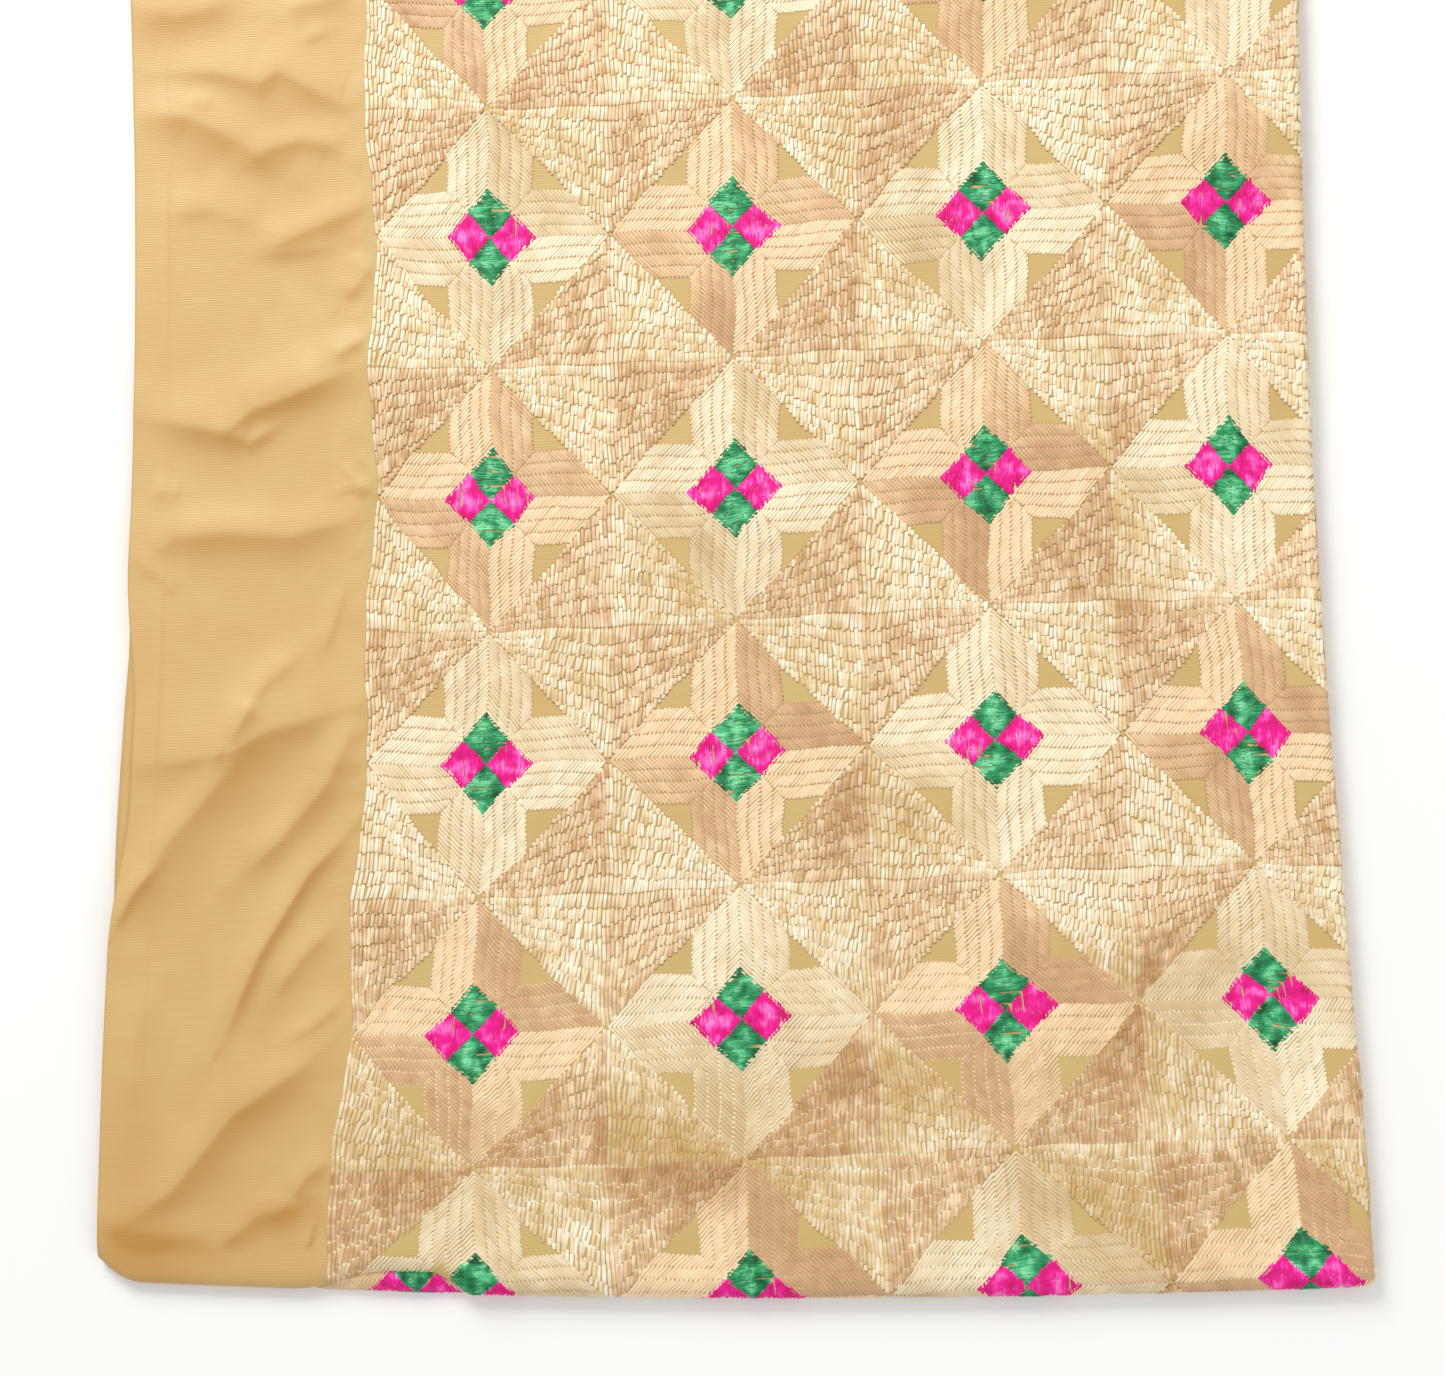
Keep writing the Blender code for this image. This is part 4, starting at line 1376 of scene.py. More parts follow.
# Painted shade patches of the plain border, where its rib turns from the light.
BORDER_SHADE_PATCHES = (
    ShadeSpot(-84, 548, 28, 12, 0.45),
    ShadeSpot(-64, 489, 24, 11, 0.35),
    ShadeSpot(-32, 507, 22, 8, 0.3),
    ShadeSpot(-90, 500, 14, 12, 0.15),
    ShadeSpot(-28, 449, 20, 7, 0.3),
    ShadeSpot(-34, 377, 26, 10, 0.2),
    ShadeSpot(-60, 315, 36, 9, 0.25),
    ShadeSpot(-50, 214, 20, 16, 0.22),
    ShadeSpot(-21, 206, 10, 18, 0.22),
    ShadeSpot(-56, 80, 16, 16, 0.22),
    ShadeSpot(-40, 118, 12, 22, 0.22),
    ShadeSpot(-32, 34, 20, 7, 0.4),
    ShadeSpot(-96, 56, 12, 26, 0.25),
    ShadeSpot(-98, 24, 16, 9, 0.4),
    ShadeSpot(-62, 18, 20, 5, 0.2),
)


# The shortest stroke that is sewn, where the painted shade at a stroke's ends begins as a
# share of its half, and how dark its first end is beside the other.
SHORTEST = 0.5
MARK_START = 0.6
FIRST_MARK = 0.82


class Surface(Protocol):
    """Cloth that strokes can be sewn on."""

    def plan(self, c: Points, r: Points) -> tuple[Points, Points]:
        """Gives the flat places of columns and rows."""

    def covers(self, at: Points) -> Points:
        """Tells which flat places can be seen."""

    def curved(self, at: Points) -> Points:
        """Tells at which flat places the cloth bends sharply."""

    def place(self, x: Points, y: Points, lift: Points) -> Points:
        """Gives the points over flat places."""


@dataclass
class Embroidery:
    """All the floss of the top leaf, sewn star by star and lozenge by lozenge."""

    cloth: FoldedCloth
    columns: int = 4
    seed: int = 11
    spot_count: int = 190
    petal: Petal = field(default_factory=Petal)
    lozenge: Lozenge = field(default_factory=Lozenge)
    heart: Heart = field(default_factory=Heart)
    spots: tuple[ShadeSpot, ...] = ()

    def __post_init__(self) -> None:
        """Strews small spots of painted sheen, darker and brighter, over the whole leaf."""
        rng = np.random.default_rng(self.seed + 5)
        self.spots = tuple(
            ShadeSpot(rng.uniform(0, 400), rng.uniform(0, 1050),
                   rng.uniform(5, 18), rng.uniform(5, 16),
                   rng.choice((-0.35, 0.35)) * rng.uniform(0.4, 1.0))
            for _ in range(self.spot_count))

    def star_colour(self, column: int, row: int) -> Floss:
        """Gives the floss of a star's petals, which changes like a chequer."""
        return Floss.CREAM if (column + row) % 2 == 0 else Floss.PEACH

    def stars(self) -> Iterator[tuple[int, int]]:
        """Gives each star of the leaf and its rolls.

        Yields:
            The star's column and row.
        """
        for row in range(int(self.cloth.rows) + 1):
            for column in range(self.columns):
                yield column, row

    def petals(self, colour: Floss, across: bool) -> list[Strokes]:
        """Gives the petal strokes of every star in one colour, across it or along it.

        Args:
            colour: The floss.
            across: Whether the petals run across.

        Returns:
            Each half petal's strokes.
        """
        half = self.petal.strokes()
        sewn = []
        for column, row in self.stars():
            if self.star_colour(column, row) is colour:
                turns = [half.turned(across, i, j) for i in (1, -1) for j in (1, -1)]
                sewn += [turn.moved(column + 0.5, row) for turn in turns]
        return sewn

    def lozenges(self, colour: Floss) -> list[Strokes]:
        """Gives the upright strokes of every lozenge quarter in one colour.

        Args:
            colour: The floss.

        Returns:
            Each quarter's strokes.
        """
        rng = np.random.default_rng(self.seed)
        quarters = {Floss.PEACH: ((-1, 1), (1, -1)), Floss.CREAM: ((1, 1), (-1, -1))}
        sewn = []
        for row in range(-1, int(self.cloth.rows) + 1):
            for column in range(self.columns + 1):
                for side, up in quarters[colour]:
                    outside = column == 0 and side < 0
                    beyond = row + 0.5 >= self.cloth.rows and up > 0
                    if not (outside or beyond):
                        quarter = self.lozenge.half(side, up, rng)
                        sewn.append(quarter.moved(column, row + 0.5))
        return sewn

    def diamonds(self, colour: Floss) -> list[Strokes]:
        """Gives the strokes of the green or the pink diamonds of every star.

        Args:
            colour: Green or pink.

        Returns:
            Each diamond's strokes.
        """
        rng = np.random.default_rng(self.seed + 1)
        swap = colour is Floss.PINK
        sewn = []
        for column, row in self.stars():
            for way in (1, -1):
                diamond = self.heart.diamond(rng)
                turn = diamond.turned(swap, way if swap else 1, 1 if swap else way)
                sewn.append(turn.moved(column + 0.5, row))
        return sewn

    def sew(self, on: Surface, name: str, strokes: list[Strokes],
            slant: float = 0.15) -> MeshParts:
        """Makes the mesh of many strokes, each an arched ribbon with sunk ends.

        Args:
            on: The cloth that the strokes are sewn on.
            name: A label for the log.
            strokes: The strokes to sew.
            slant: How much painted sheen shade strokes get that run down to the right.

        Returns:
            The mesh of all the strokes that can be seen.
        """
        every = gathered(strokes)
        a, b = (self.by_hand(np.stack(on.plan(*end.T), axis=1))
                for end in (every.start, every.end))
        every = replace(every, start=a, end=b)
        every = every.picked(on.covers(a) & on.covers(b) & (np.hypot(*(b - a).T) > SHORTEST))
        rng = np.random.default_rng(len(every.start))
        log.info("%s: %d strokes", name, len(every.start))
        bent = on.curved(every.start) | on.curved(every.end)
        made = [self.ribbons(on, every.picked(group), share, rng, slant)
                for group, share in ((~bent, rung_shares(4, 0.3)), (bent, rung_shares(7, 0.75)))
                if group.any()]
        return merged(made)

    def by_hand(self, at: Points) -> Points:
        """Shifts places a little, as counting by hand does, and neighbours alike.

        Args:
            at: Places on the flat cloth, one to a row.

        Returns:
            The shifted places.
        """
        x, y = at[:, 0], at[:, 1]
        across = 0.5 * np.sin(y / 5.3 + 1.3 * np.sin(x / 12.0)) + 0.35 * np.sin(x / 7.7 + y / 13.0)
        along = 0.5 * np.sin(x / 6.1 + 1.2 * np.sin(y / 10.0)) + 0.35 * np.sin(y / 8.3 - x / 15.0)
        return at + np.stack([across, along], axis=1)

    def ribbons(self, on: Surface, strokes: Strokes, share: Points, rng: np.random.Generator,
                slant: float = 0.0) -> MeshParts:
        """Makes arched ribbons.

        Args:
            on: The cloth that they lie on.
            strokes: Strokes laid out on the flat cloth, each with its own numbers.
            share: Where the rungs stand, from 0 to 1 along a stroke.
            rng: The source of small differences.
            slant: How much painted sheen shade strokes get that run down to the right.

        Returns:
            The mesh of these ribbons.
        """
        count, rungs = len(strokes.start), len(share)
        length = np.maximum(np.hypot(*(strokes.end - strokes.start).T), 1e-6)[:, None]
        laid = self.pulled(strokes, length, rng)
        flat, lift = self.arches(laid, length, share, rng)
        at = flat.reshape(-1, 2)
        points = on.place(*at.T, lift.ravel())
        tone = self.tones(laid, length, share, at, slant, rng)
        one = grid_faces(rungs, 3)
        faces = (one[None] + (np.arange(count) * rungs * 3)[:, None, None]).reshape(-1, 4)
        return MeshParts(points, [faces[:, ::-1]], at, tone, "stroke")

    def pulled(self, strokes: Strokes, length: Points, rng: np.random.Generator) -> Strokes:
        """Shifts the ends of strokes a little, as each is pulled tight.

        Args:
            strokes: The strokes.
            length: The length of each.
            rng: The source of small differences.

        Returns:
            The strokes with their new ends.
        """
        along = (strokes.end - strokes.start) / length
        start = strokes.start - along * rng.normal(0.28, 0.14, length.shape)
        start = start + rng.normal(0.0, 0.06, start.shape)
        end = strokes.end + along * rng.normal(0.08, 0.16, length.shape)
        return replace(strokes, start=start, end=end)

    def arches(self, strokes: Strokes, length: Points, share: Points,
               rng: np.random.Generator) -> tuple[Points, Points]:
        """Gives the points of the ribbons, three to a rung.

        Args:
            strokes: The strokes.
            length: The length of each before it was pulled.
            share: Where the rungs stand along a stroke.
            rng: The source of small differences.

        Returns:
            Where the points lie on the flat cloth, and how high above it.
        """
        run = strokes.end - strokes.start
        aside = np.stack([-run[:, 1], run[:, 0]], axis=1) / length
        full = fullness(share)[None, :, None]
        wide = strokes.width * (1.0 + rng.normal(0.0, 0.08, len(run)))
        high = strokes.crest * (1.0 + rng.normal(0.0, 0.13, len(run)))
        line = strokes.start[:, None, :] + run[:, None, :] * share[None, :, None]
        spread = (0.42 + 0.58 * full) * wide[:, None, None] / 2
        out = (spread * np.array([-1.0, 0.0, 1.0]))[..., None]
        flat = line[:, :, None, :] + aside[:, None, None, :] * out
        lift = high[:, None, None] * (0.3 + 0.7 * full) * np.array([0.2, 1.0, 0.2])
        return flat, lift

    def tones(self, strokes: Strokes, length: Points, share: Points, at: Points, slant: float,
              rng: np.random.Generator) -> Points:
        """Gives each point of the ribbons its random tone with painted glints, its painted shade
        where the floss dives in, and its painted sheen shade.

        Args:
            strokes: The strokes.
            length: The length of each before it was pulled.
            share: Where the rungs stand along a stroke.
            at: Where the points lie on the flat cloth.
            slant: How much painted sheen shade strokes get that run down to the right.
            rng: The source of small differences.

        Returns:
            The three numbers of each point.
        """
        def spread(values: Points) -> Points:
            """Gives each point the number of its stroke, its rung or its side."""
            return np.broadcast_to(values, (len(length), len(share), 3)).ravel()

        rim = np.array([1.0, 0.0, 1.0])
        # Painted highlight where the sunk tips glint.
        glint = spread((1.0 - fullness(share))[None, :, None]) * self.glints(*at.T)
        middle = (strokes.start + strokes.end) / 2
        varied = 0.55 * rng.random(len(length)) + 0.45 * self.bundles(*middle.T)
        varied = spread(varied[:, None, None])
        # Painted shade at the sides of each stroke and near its ends, where it dives into the
        # cloth.
        mark = end_marks(share)[None, :, None] * (0.94 + 0.06 * rim) * strokes.tips[:, None, None]
        sunk = np.maximum(spread(strokes.sides[:, None, None] * rim), spread(mark))
        # Painted sheen shade by how each stroke leans, added to the painted sheen of each place.
        run = strokes.end - strokes.start
        lean = -2.0 * run[:, 0] * run[:, 1] / length[:, 0] ** 2
        dull = self.painted_sheen(*at.T) + spread(lean[:, None, None]) * slant * self.lean_sheen(*at.T)
        # More painted shade towards a diamond's edge, by each stroke's outline numbers.
        towards = strokes.outline @ np.stack([1.0 - share, share]) ** 1.5
        dull = np.clip(dull + spread(towards[:, :, None]), 0.0, 1.0) * (1.0 - glint)
        bright = varied + (1.0 - varied) * glint
        return np.stack([bright, sunk * (1.0 - 0.8 * glint), dull], axis=1)

    def painted_sheen(self, x: Points, y: Points) -> Points:
        """Gives the painted sheen shade of the floss from place to place, about 0 to 1.

        Args:
            x: Places across the cloth.
            y: Places along it.

        Returns:
            The dullness at each place.
        """
        slow = 0.2 + 0.1 * np.sin(x / 23.0 + 1.7 * np.sin(y / 41.0))
        # More painted shade towards the near fold.
        slow = slow + 0.38 * smooth((170.0 - y) / 140.0)
        slow = slow + 0.1 * np.sin(y / 17.0 - x / 61.0)
        slow = slow + 0.16 * np.sin(x / 3.7 + 1.4 * np.sin(y / 9.7)) * np.sin(y / 5.9 + x / 21.0)
        for spot in (*SHEEN_SPOTS, *self.spots):
            slow = slow + spot.at(x, y)
        return slow

    def bundles(self, x: Points, y: Points) -> Points:
        """Gives how alike neighbouring strokes look, from 0 to 1, as one needleful does."""
        bent = np.sin(1.9 * x + 2.1 * np.sin(0.41 * y)) * np.sin(0.33 * y + 1.3 * np.sin(0.27 * x))
        return 0.5 + 0.5 * bent

    def lean_sheen(self, x: Points, y: Points) -> Points:
        """Gives how strongly the painted sheen shade from the strokes' lean shows, about 1."""
        return 1.0 + 0.6 * np.sin(x / 31.0 + 2.0) * np.sin(y / 27.0)

    def glints(self, x: Points, y: Points) -> Points:
        """Gives how much the sunk ends catch the light, which they do near the front."""
        return 0.85 * smooth((165.0 - y) / 70.0) * smooth(0.75 + 0.5 * np.sin(x / 19.0 + y / 13.0))


def rung_shares(count: int, gather: float) -> Points:
    """Gives where a stroke's rungs stand along it.

    Args:
        count: How many rungs.
        gather: How far they spread: 1 is even, and below it they crowd towards the ends.

    Returns:
        Their places from 0 to 1.
    """
    even = np.linspace(-1.0, 1.0, count)
    return 0.5 + 0.5 * np.sign(even) * np.abs(even) ** gather


def fullness(share: Points) -> Points:
    """Gives how full a stroke is along it: 1 in its body and 0 where it dives in."""
    return 1.0 - np.abs(2.0 * share - 1.0) ** 7


def end_marks(share: Points) -> Points:
    """Gives the painted shade along a stroke: only close to its ends, the first one less.

    Args:
        share: Places from 0 to 1 along a stroke.

    Returns:
        The darkness at each.
    """
    mark = np.clip(np.abs(2.0 * share - 1.0) - MARK_START, 0.0, 1.0 - MARK_START)
    return mark / (1.0 - MARK_START) * np.where(share > 0.5, 1.0, FIRST_MARK)


def merged(parts: list[MeshParts]) -> MeshParts:
    """Joins several meshes into one.

    Args:
        parts: Meshes whose materials read the same tones.

    Returns:
        The one mesh.
    """
    shift = np.cumsum([0] + [len(p.points) for p in parts[:-1]])
    return MeshParts(
        np.concatenate([p.points for p in parts]),
        [faces + s for p, s in zip(parts, shift) for faces in p.faces],
        np.concatenate([p.flat for p in parts]),
        np.concatenate([p.tone for p in parts]),
        parts[0].tone_name,
    )


# The leaves of cloth


@dataclass
class TopLeaf:
    """The leaf that shows: plain border, worked field, and the rolls at both folds."""

    cloth: FoldedCloth
    thickness: float = 0.9
    border_columns: int = 84
    field_columns: int = 32
    roll_columns: int = 11
    near_rows: int = 14
    fine_rows: int = 282
    coarse_rows: int = 75
    fine_end: float = 575.0
    tone_step: float = 1.2
    selvedge_line: float = 16.5

    def places(self) -> tuple[Points, Points]:
        """Gives the flat places of the leaf's grid, rows along it by columns across.

        Returns:
            The places across and along.
        """
        across = self.border_columns + self.field_columns + self.roll_columns
        fine = np.linspace(0.0, 1.0, self.fine_rows) * self.fine_end
        coarse = np.linspace(self.fine_end, self.cloth.far_end, self.coarse_rows)[1:]
        y0 = np.concatenate([fine, coarse])
        y = np.repeat(y0[:, None], across, axis=1)
        side_length = self.cloth.side_arc.length(self.cloth.side_turn)
        border = np.linspace(0.0, 1.0, self.border_columns, endpoint=False)
        body = np.linspace(0.0, 1.0, self.field_columns, endpoint=False) ** 1.35
        roll = np.linspace(0.0, 1.0, self.roll_columns)
        for _ in range(3):
            left, edge = self.cloth.leaf_edge_x(y[:, 0]), self.cloth.field_edge_x(y[:, 0])
            right = self.cloth.side_roll_x(y[:, -1])
            x = np.concatenate([left[:, None] + (edge - left)[:, None] * border,
                                edge[:, None] + (right - edge)[:, None] * body,
                                right[:, None] + side_length * roll], axis=1)
            near, far = self.cloth.near_roll_y(x), self.cloth.far_y(x)
            share = (y0 / self.cloth.far_end)[:, None]
            y = near * (1.0 - share) + far * share
        down = np.linspace(self.cloth.near_arc.length(self.cloth.near_turn), 0.0, self.near_rows)
        x_near = np.repeat(x[:1], self.near_rows - 1, axis=0)
        y_near = self.cloth.near_roll_y(x_near) - down[:-1, None]
        return np.concatenate([x_near, x]), np.concatenate([y_near, y])

    def fold_tone(self, x: Points, y: Points) -> Points:
        """Gives each place of the cloth its painted highlight, its painted shade and how much it
        lies in the worked field.

        Args:
            x: Places across the cloth.
            y: Places along it.

        Returns:
            The three numbers of each place.
        """
        step, relief = self.tone_step, self.cloth.relief
        across = (relief(x + step, y) - relief(x - step, y)) / (2 * step)
        along = (relief(x, y + step) - relief(x, y - step)) / (2 * step)
        # Painted light from the key at the upper left: a painted highlight on slopes that face it
        # and painted shade on slopes that face away.
        away = -0.4 * across + 0.92 * along
        crest = np.clip(0.35 - 1.3 * away, 0.0, 1.0)
        hollow_shade = np.clip(2.7 * away - 0.06, 0.0, 0.85)
        for patch in BORDER_SHADE_PATCHES:
            hollow_shade = hollow_shade + patch.at(x, y)
        # More painted shade towards the near fold and in the near left corner of the border.
        near = smooth((150.0 - y) / 150.0) * smooth((-x - 4.0) / 20.0)
        corner = smooth(1.0 - np.hypot(x + 88.0, y - 16.0) / 34.0) * 0.4
        hollow_shade = np.clip(hollow_shade * (1.0 + 0.35 * near) + corner + 0.08 * near, 0.0, 1.0)
        line = self.cloth.selvedge_x(y) + self.selvedge_line + 1.2 * np.sin(y / 90.0)
        selvedge = np.exp(-(((x - line) / 0.8) ** 2)) * (0.16 + 0.1 * np.sin(y / 33.0))
        field = smooth((x + 1.0) / 3.0) * smooth((self.cloth.pitch_y * self.cloth.rows - y) / 3.0)
        return np.stack([crest, np.maximum(hollow_shade, selvedge), field], axis=2)

    def build(self, material: bpy.types.Material) -> bpy.types.Object:
        """Makes the ground cloth of the leaf.

        Args:
            material: The ground cloth's material.

        Returns:
            The leaf's object, a closed thin shell.
        """
        x, y = self.places()
        parts = shell(self.cloth.place(x, y, 0.0), self.cloth.place(x, y, -self.thickness),
                      np.stack([x, y], axis=2), self.fold_tone(x, y), "fold_tone")
        obj = parts.to_object("top_leaf_cloth", material)
        width = float(self.cloth.side_fold_x(400.0) - self.cloth.selvedge_x(400.0)) * MM
        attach(obj, "root")
        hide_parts("top_leaf")
        return obj


def plain_tone(shape: tuple[int, ...], lit: float = 0.35) -> Points:
    """Gives an even tone for cloth that no fold shades.

    Args:
        shape: The grid's rows and columns.
        lit: How lit the cloth looks.

    Returns:
        The three numbers of each place.
    """
    tone = np.zeros((*shape, 3))
    tone[..., 0] = lit
    return tone


@dataclass
class LowerLeaves:
    """The three leaves below: one under the top leaf, and a pair joined at its fold."""

    cloth: FoldedCloth
    thickness: float = 0.9
    columns: int = 41
    rows: int = 121
    turns: int = 13
    under: float = 1.9
    pair_share: float = 0.62
    beside: float = 14.0

    def build(self, material: bpy.types.Material) -> bpy.types.Object:
        """Makes the lower leaves as one piece of layered cloth.

        Args:
            material: The ground cloth's material.

        Returns:
            The object.
        """
        parts = merged([self.second_leaf(), self.lower_pair()])
        obj = parts.to_object("lower_leaves_cloth", material)
        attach(obj, "root")
        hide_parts("lower_leaves")
        return obj

    def leaf_edges(self, y: Points) -> tuple[Points, Points, Points]:
        """Gives the selvedges of the second, third and fourth leaf.

        Args:
            y: Places along the cloth.

        Returns:
            The three lines.
        """
        line = self.cloth.selvedge_x(y)
        second = line + 1.6 * (1 - self.cloth.peek(y)) - 0.8 * np.sin(y / 61.0)
        third = line + 1.4 - 1.1 * np.sin(y / 83.0 + 1.0)
        return second, third, line + 0.6 - 0.6 * np.cos(y / 47.0)

    def leaf_hems(self, x: Points) -> tuple[Points, Points, Points]:
        """Gives the far ends of the second, third and fourth leaf.

        Args:
            x: Places across the cloth.

        Returns:
            The three lines.
        """
        end = self.cloth.far_y(x)
        second = end - 2.4 + 1.2 * np.sin(x / 70.0)
        return second, end + 0.6 + np.cos(x / 95.0), end - 1.8 + np.sin(x / 51.0)

    def level(self, x: Points, y: Points, share: float) -> Points:
        """Gives a height within the lower leaves, as a share of their stack.

        Args:
            x: Places across the cloth.
            y: Places along it.
            share: The share.

        Returns:
            The height at each place.
        """
        room = self.cloth.stack_top(x, y) - self.under
        return (room + np.minimum(self.cloth.relief(x, y), 0.0)) * share

    def grid(self, leaf: int, right: float) -> tuple[Points, Points]:
        """Gives places of one leaf from its selvedge to near the side fold.

        Args:
            leaf: 0, 1 or 2 for the second, third or fourth leaf.
            right: How far it stops before the side fold's roll.

        Returns:
            The places across and along, rows by columns.
        """
        share_x = np.linspace(0.0, 1.0, self.columns) ** 1.3
        share_y = np.linspace(0.0, 1.0, self.rows)
        y = np.repeat((share_y * self.cloth.far_end)[:, None], self.columns, axis=1)
        for _ in range(3):
            left = self.leaf_edges(y[:, :1])[leaf]
            end = self.cloth.side_roll_x(y[:, :1]) - right
            x = left + (end - left) * share_x[None, :]
            near = self.cloth.near_roll_y(x) + 1.3
            y = near + (self.leaf_hems(x)[leaf] - near) * share_y[:, None]
        return x, y

    def second_leaf(self) -> MeshParts:
        """Makes the leaf that lies just under the top one.

        Returns:
            Its closed shell.
        """
        x, y = self.grid(0, 0.6)
        top = self.level(x, y, 1.0)
        return shell(self.cloth.metres(x, y, top), self.cloth.metres(x, y, top - self.thickness),
                     np.stack([x, y], axis=2), plain_tone(x.shape), "fold_tone")

    def lower_pair(self) -> MeshParts:
        """Makes the two lowest leaves, which are one cloth turned round the side fold.

        Returns:
            Their closed shell.
        """
        x3, y3 = self.grid(1, 0.0)
        x4, y4 = self.grid(2, 0.0)
        roll = self.cloth.side_share * self.cloth.stack_top(x3[:, -1:], y3[:, -1:])
        top3 = np.minimum(self.level(x3, y3, self.pair_share), 2.0 * roll)
        beside = smooth((x3 - x3[:, -1:] + self.beside) / self.beside)
        top3 = top3 * (1 - beside) + 2.0 * roll * beside
        turn = np.linspace(0.0, math.pi, self.turns + 2)[1:-1]
        nose_y = (y3[:, -1:] + y4[:, -1:]) / 2 + 0.0 * turn
        y = np.concatenate([y3, nose_y, y4[:, ::-1]], axis=1)
        faces = []
        for inset in (0.0, self.thickness):
            nose_x = x3[:, -1:] + (self.cloth.side_roll - inset) * np.sin(turn)
            nose_z = roll + (roll - inset) * np.cos(turn)
            x = np.concatenate([x3, nose_x, x4[:, ::-1]], axis=1)
            z = np.concatenate([top3 - inset, nose_z, 0.0 * x4 + inset], axis=1)
            faces.append((x, z))
        (x, z), (x_in, z_in) = faces
        around = np.hypot(np.diff(x, axis=1), np.diff(z, axis=1)).cumsum(axis=1)
        around = np.concatenate([np.zeros((self.rows, 1)), around], axis=1)
        return shell(self.cloth.metres(x, y, z), self.cloth.metres(x_in, y, z_in),
                     np.stack([around, y + 1200.0], axis=2), plain_tone(x.shape), "fold_tone")


@dataclass(frozen=True)
class LowerFoldSide:
    """The round of the lower pair of leaves at the lengthwise fold, for its floss."""

    cloth: FoldedCloth
    sewn: float = math.radians(165)

    def plan(self, c: Points, r: Points) -> tuple[Points, Points]:
        """Gives the flat places of columns and rows."""
        return self.cloth.plan(c, r)

    def covers(self, at: Points) -> Points:
        """Tells which flat places can be seen.

        Args:
            at: Places on the flat cloth, one to a row.

        Returns:
            Whether each can be seen.
        """
        past = at[:, 0] - self.cloth.side_roll_x(at[:, 1])
        near = at[:, 1] - self.cloth.near_roll_y(at[:, 0])
        return (past > 0.2) & (past < self.cloth.side_arc.length(self.sewn)) & (near > 2.0)

    def curved(self, at: Points) -> Points:
        """Tells at which flat places the cloth bends sharply."""
        return np.ones(len(at), bool)

    def place(self, x: Points, y: Points, lift: Points) -> Points:
        """Gives the points over flat places.

        Args:
            x: Places across the flat cloth.
            y: Places along it.
            lift: Height above the cloth's face.

        Returns:
            Points in metres.
        """
        turn = self.cloth.side_arc.angle(np.maximum(x - self.cloth.side_roll_x(y), 0.0))
        roll = self.cloth.side_share * self.cloth.stack_top(x, y)
        out = self.cloth.side_roll_x(y) + (self.cloth.side_roll + lift) * np.sin(turn)
        return self.cloth.metres(out, y, np.maximum(roll + (roll + lift) * np.cos(turn), 0.05))


@dataclass(frozen=True)
class ShownFold:
    """The length of the lower crosswise fold that shows in front of the top leaf."""

    cloth: FoldedCloth
    middle: float = 13.0
    half: float = 34.0
    height: float = 4.6
    arc: float = 17.0
    shown: float = 0.68
    cloth_share: float = 0.93
    thickness: float = 0.7
    star_x: float = 20.5
    star_y: float = 1.5

    def plan(self, c: Points, r: Points) -> tuple[Points, Points]:
        """Gives the flat places of columns and rows counted from the fold's own star."""
        up = np.clip(self.star_y + self.cloth.pitch_y * r, 0.9, self.arc * 0.86)
        return self.star_x + self.cloth.pitch_x * c, up

    def covers(self, at: Points) -> Points:
        """Tells which flat places can be seen."""
        return np.abs(at[:, 0] - self.middle) < self.half

    def curved(self, at: Points) -> Points:
        """Tells at which flat places the cloth bends sharply."""
        return np.ones(len(at), bool)

    def place(self, x: Points, y: Points, lift: Points | float) -> Points:
        """Gives the points over flat places, y running up from the foot in front.

        Args:
            x: Places across the flat cloth.
            y: Places up it.
            lift: Height above the cloth's face, or below it.

        Returns:
            Points in metres.
        """
        front = self.cloth.front_y(x) + 0.5
        deep = np.maximum(self.cloth.sit_back(x) + 2.6, 2.0) / 2
        angle = np.pi * y / self.arc
        fade = smooth(1.25 - np.abs(x - self.middle) / self.half)
        high = self.height * (0.3 + 0.7 * fade)
        out = front + deep - (deep + lift) * np.cos(angle)
        return self.cloth.metres(x, out, np.maximum((high + lift) * np.sin(angle), 0.03))

    def build(self, material: bpy.types.Material) -> bpy.types.Object:
        """Makes the fold's ground cloth.

        Args:
            material: The ground cloth's material.

        Returns:
            The object.
        """
        across = np.linspace(self.middle - self.half, self.middle + self.half, 61)
        up = np.linspace(0.0, self.arc * self.cloth_share, 17)
        x, y = np.meshgrid(across, up)
        tone = plain_tone(x.shape)
        tone[..., 2] = 1.0
        parts = shell(self.place(x, y, 0.0), self.place(x, y, -self.thickness),
                      np.stack([x, y], axis=2), tone, "fold_tone")
        obj = parts.to_object("shown_fold_cloth", material)
        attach(obj, "root")
        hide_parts("shown_fold")
        return obj

    def sew(self, work: Embroidery, colour: Floss) -> MeshParts:
        """Sews the strokes of one colour of the fold's own star.

        Args:
            work: The shawl's embroidery.
            colour: The floss.

        Returns:
            The mesh of the strokes that show.
        """
        rng = np.random.default_rng(work.seed + 7)
        if colour is Floss.PEACH:
            half = work.petal.strokes()
            sewn = [half.turned(across, i, j) for across in (False, True)
                    for i in (1, -1) for j in (1, -1)]
        else:
            pink = colour is Floss.PINK
            sewn = [work.heart.diamond(rng).turned(pink, *((way, 1) if pink else (1, way)))
                    for way in (1, -1)]
        return work.sew(self, f"shown fold {colour.value}", sewn)


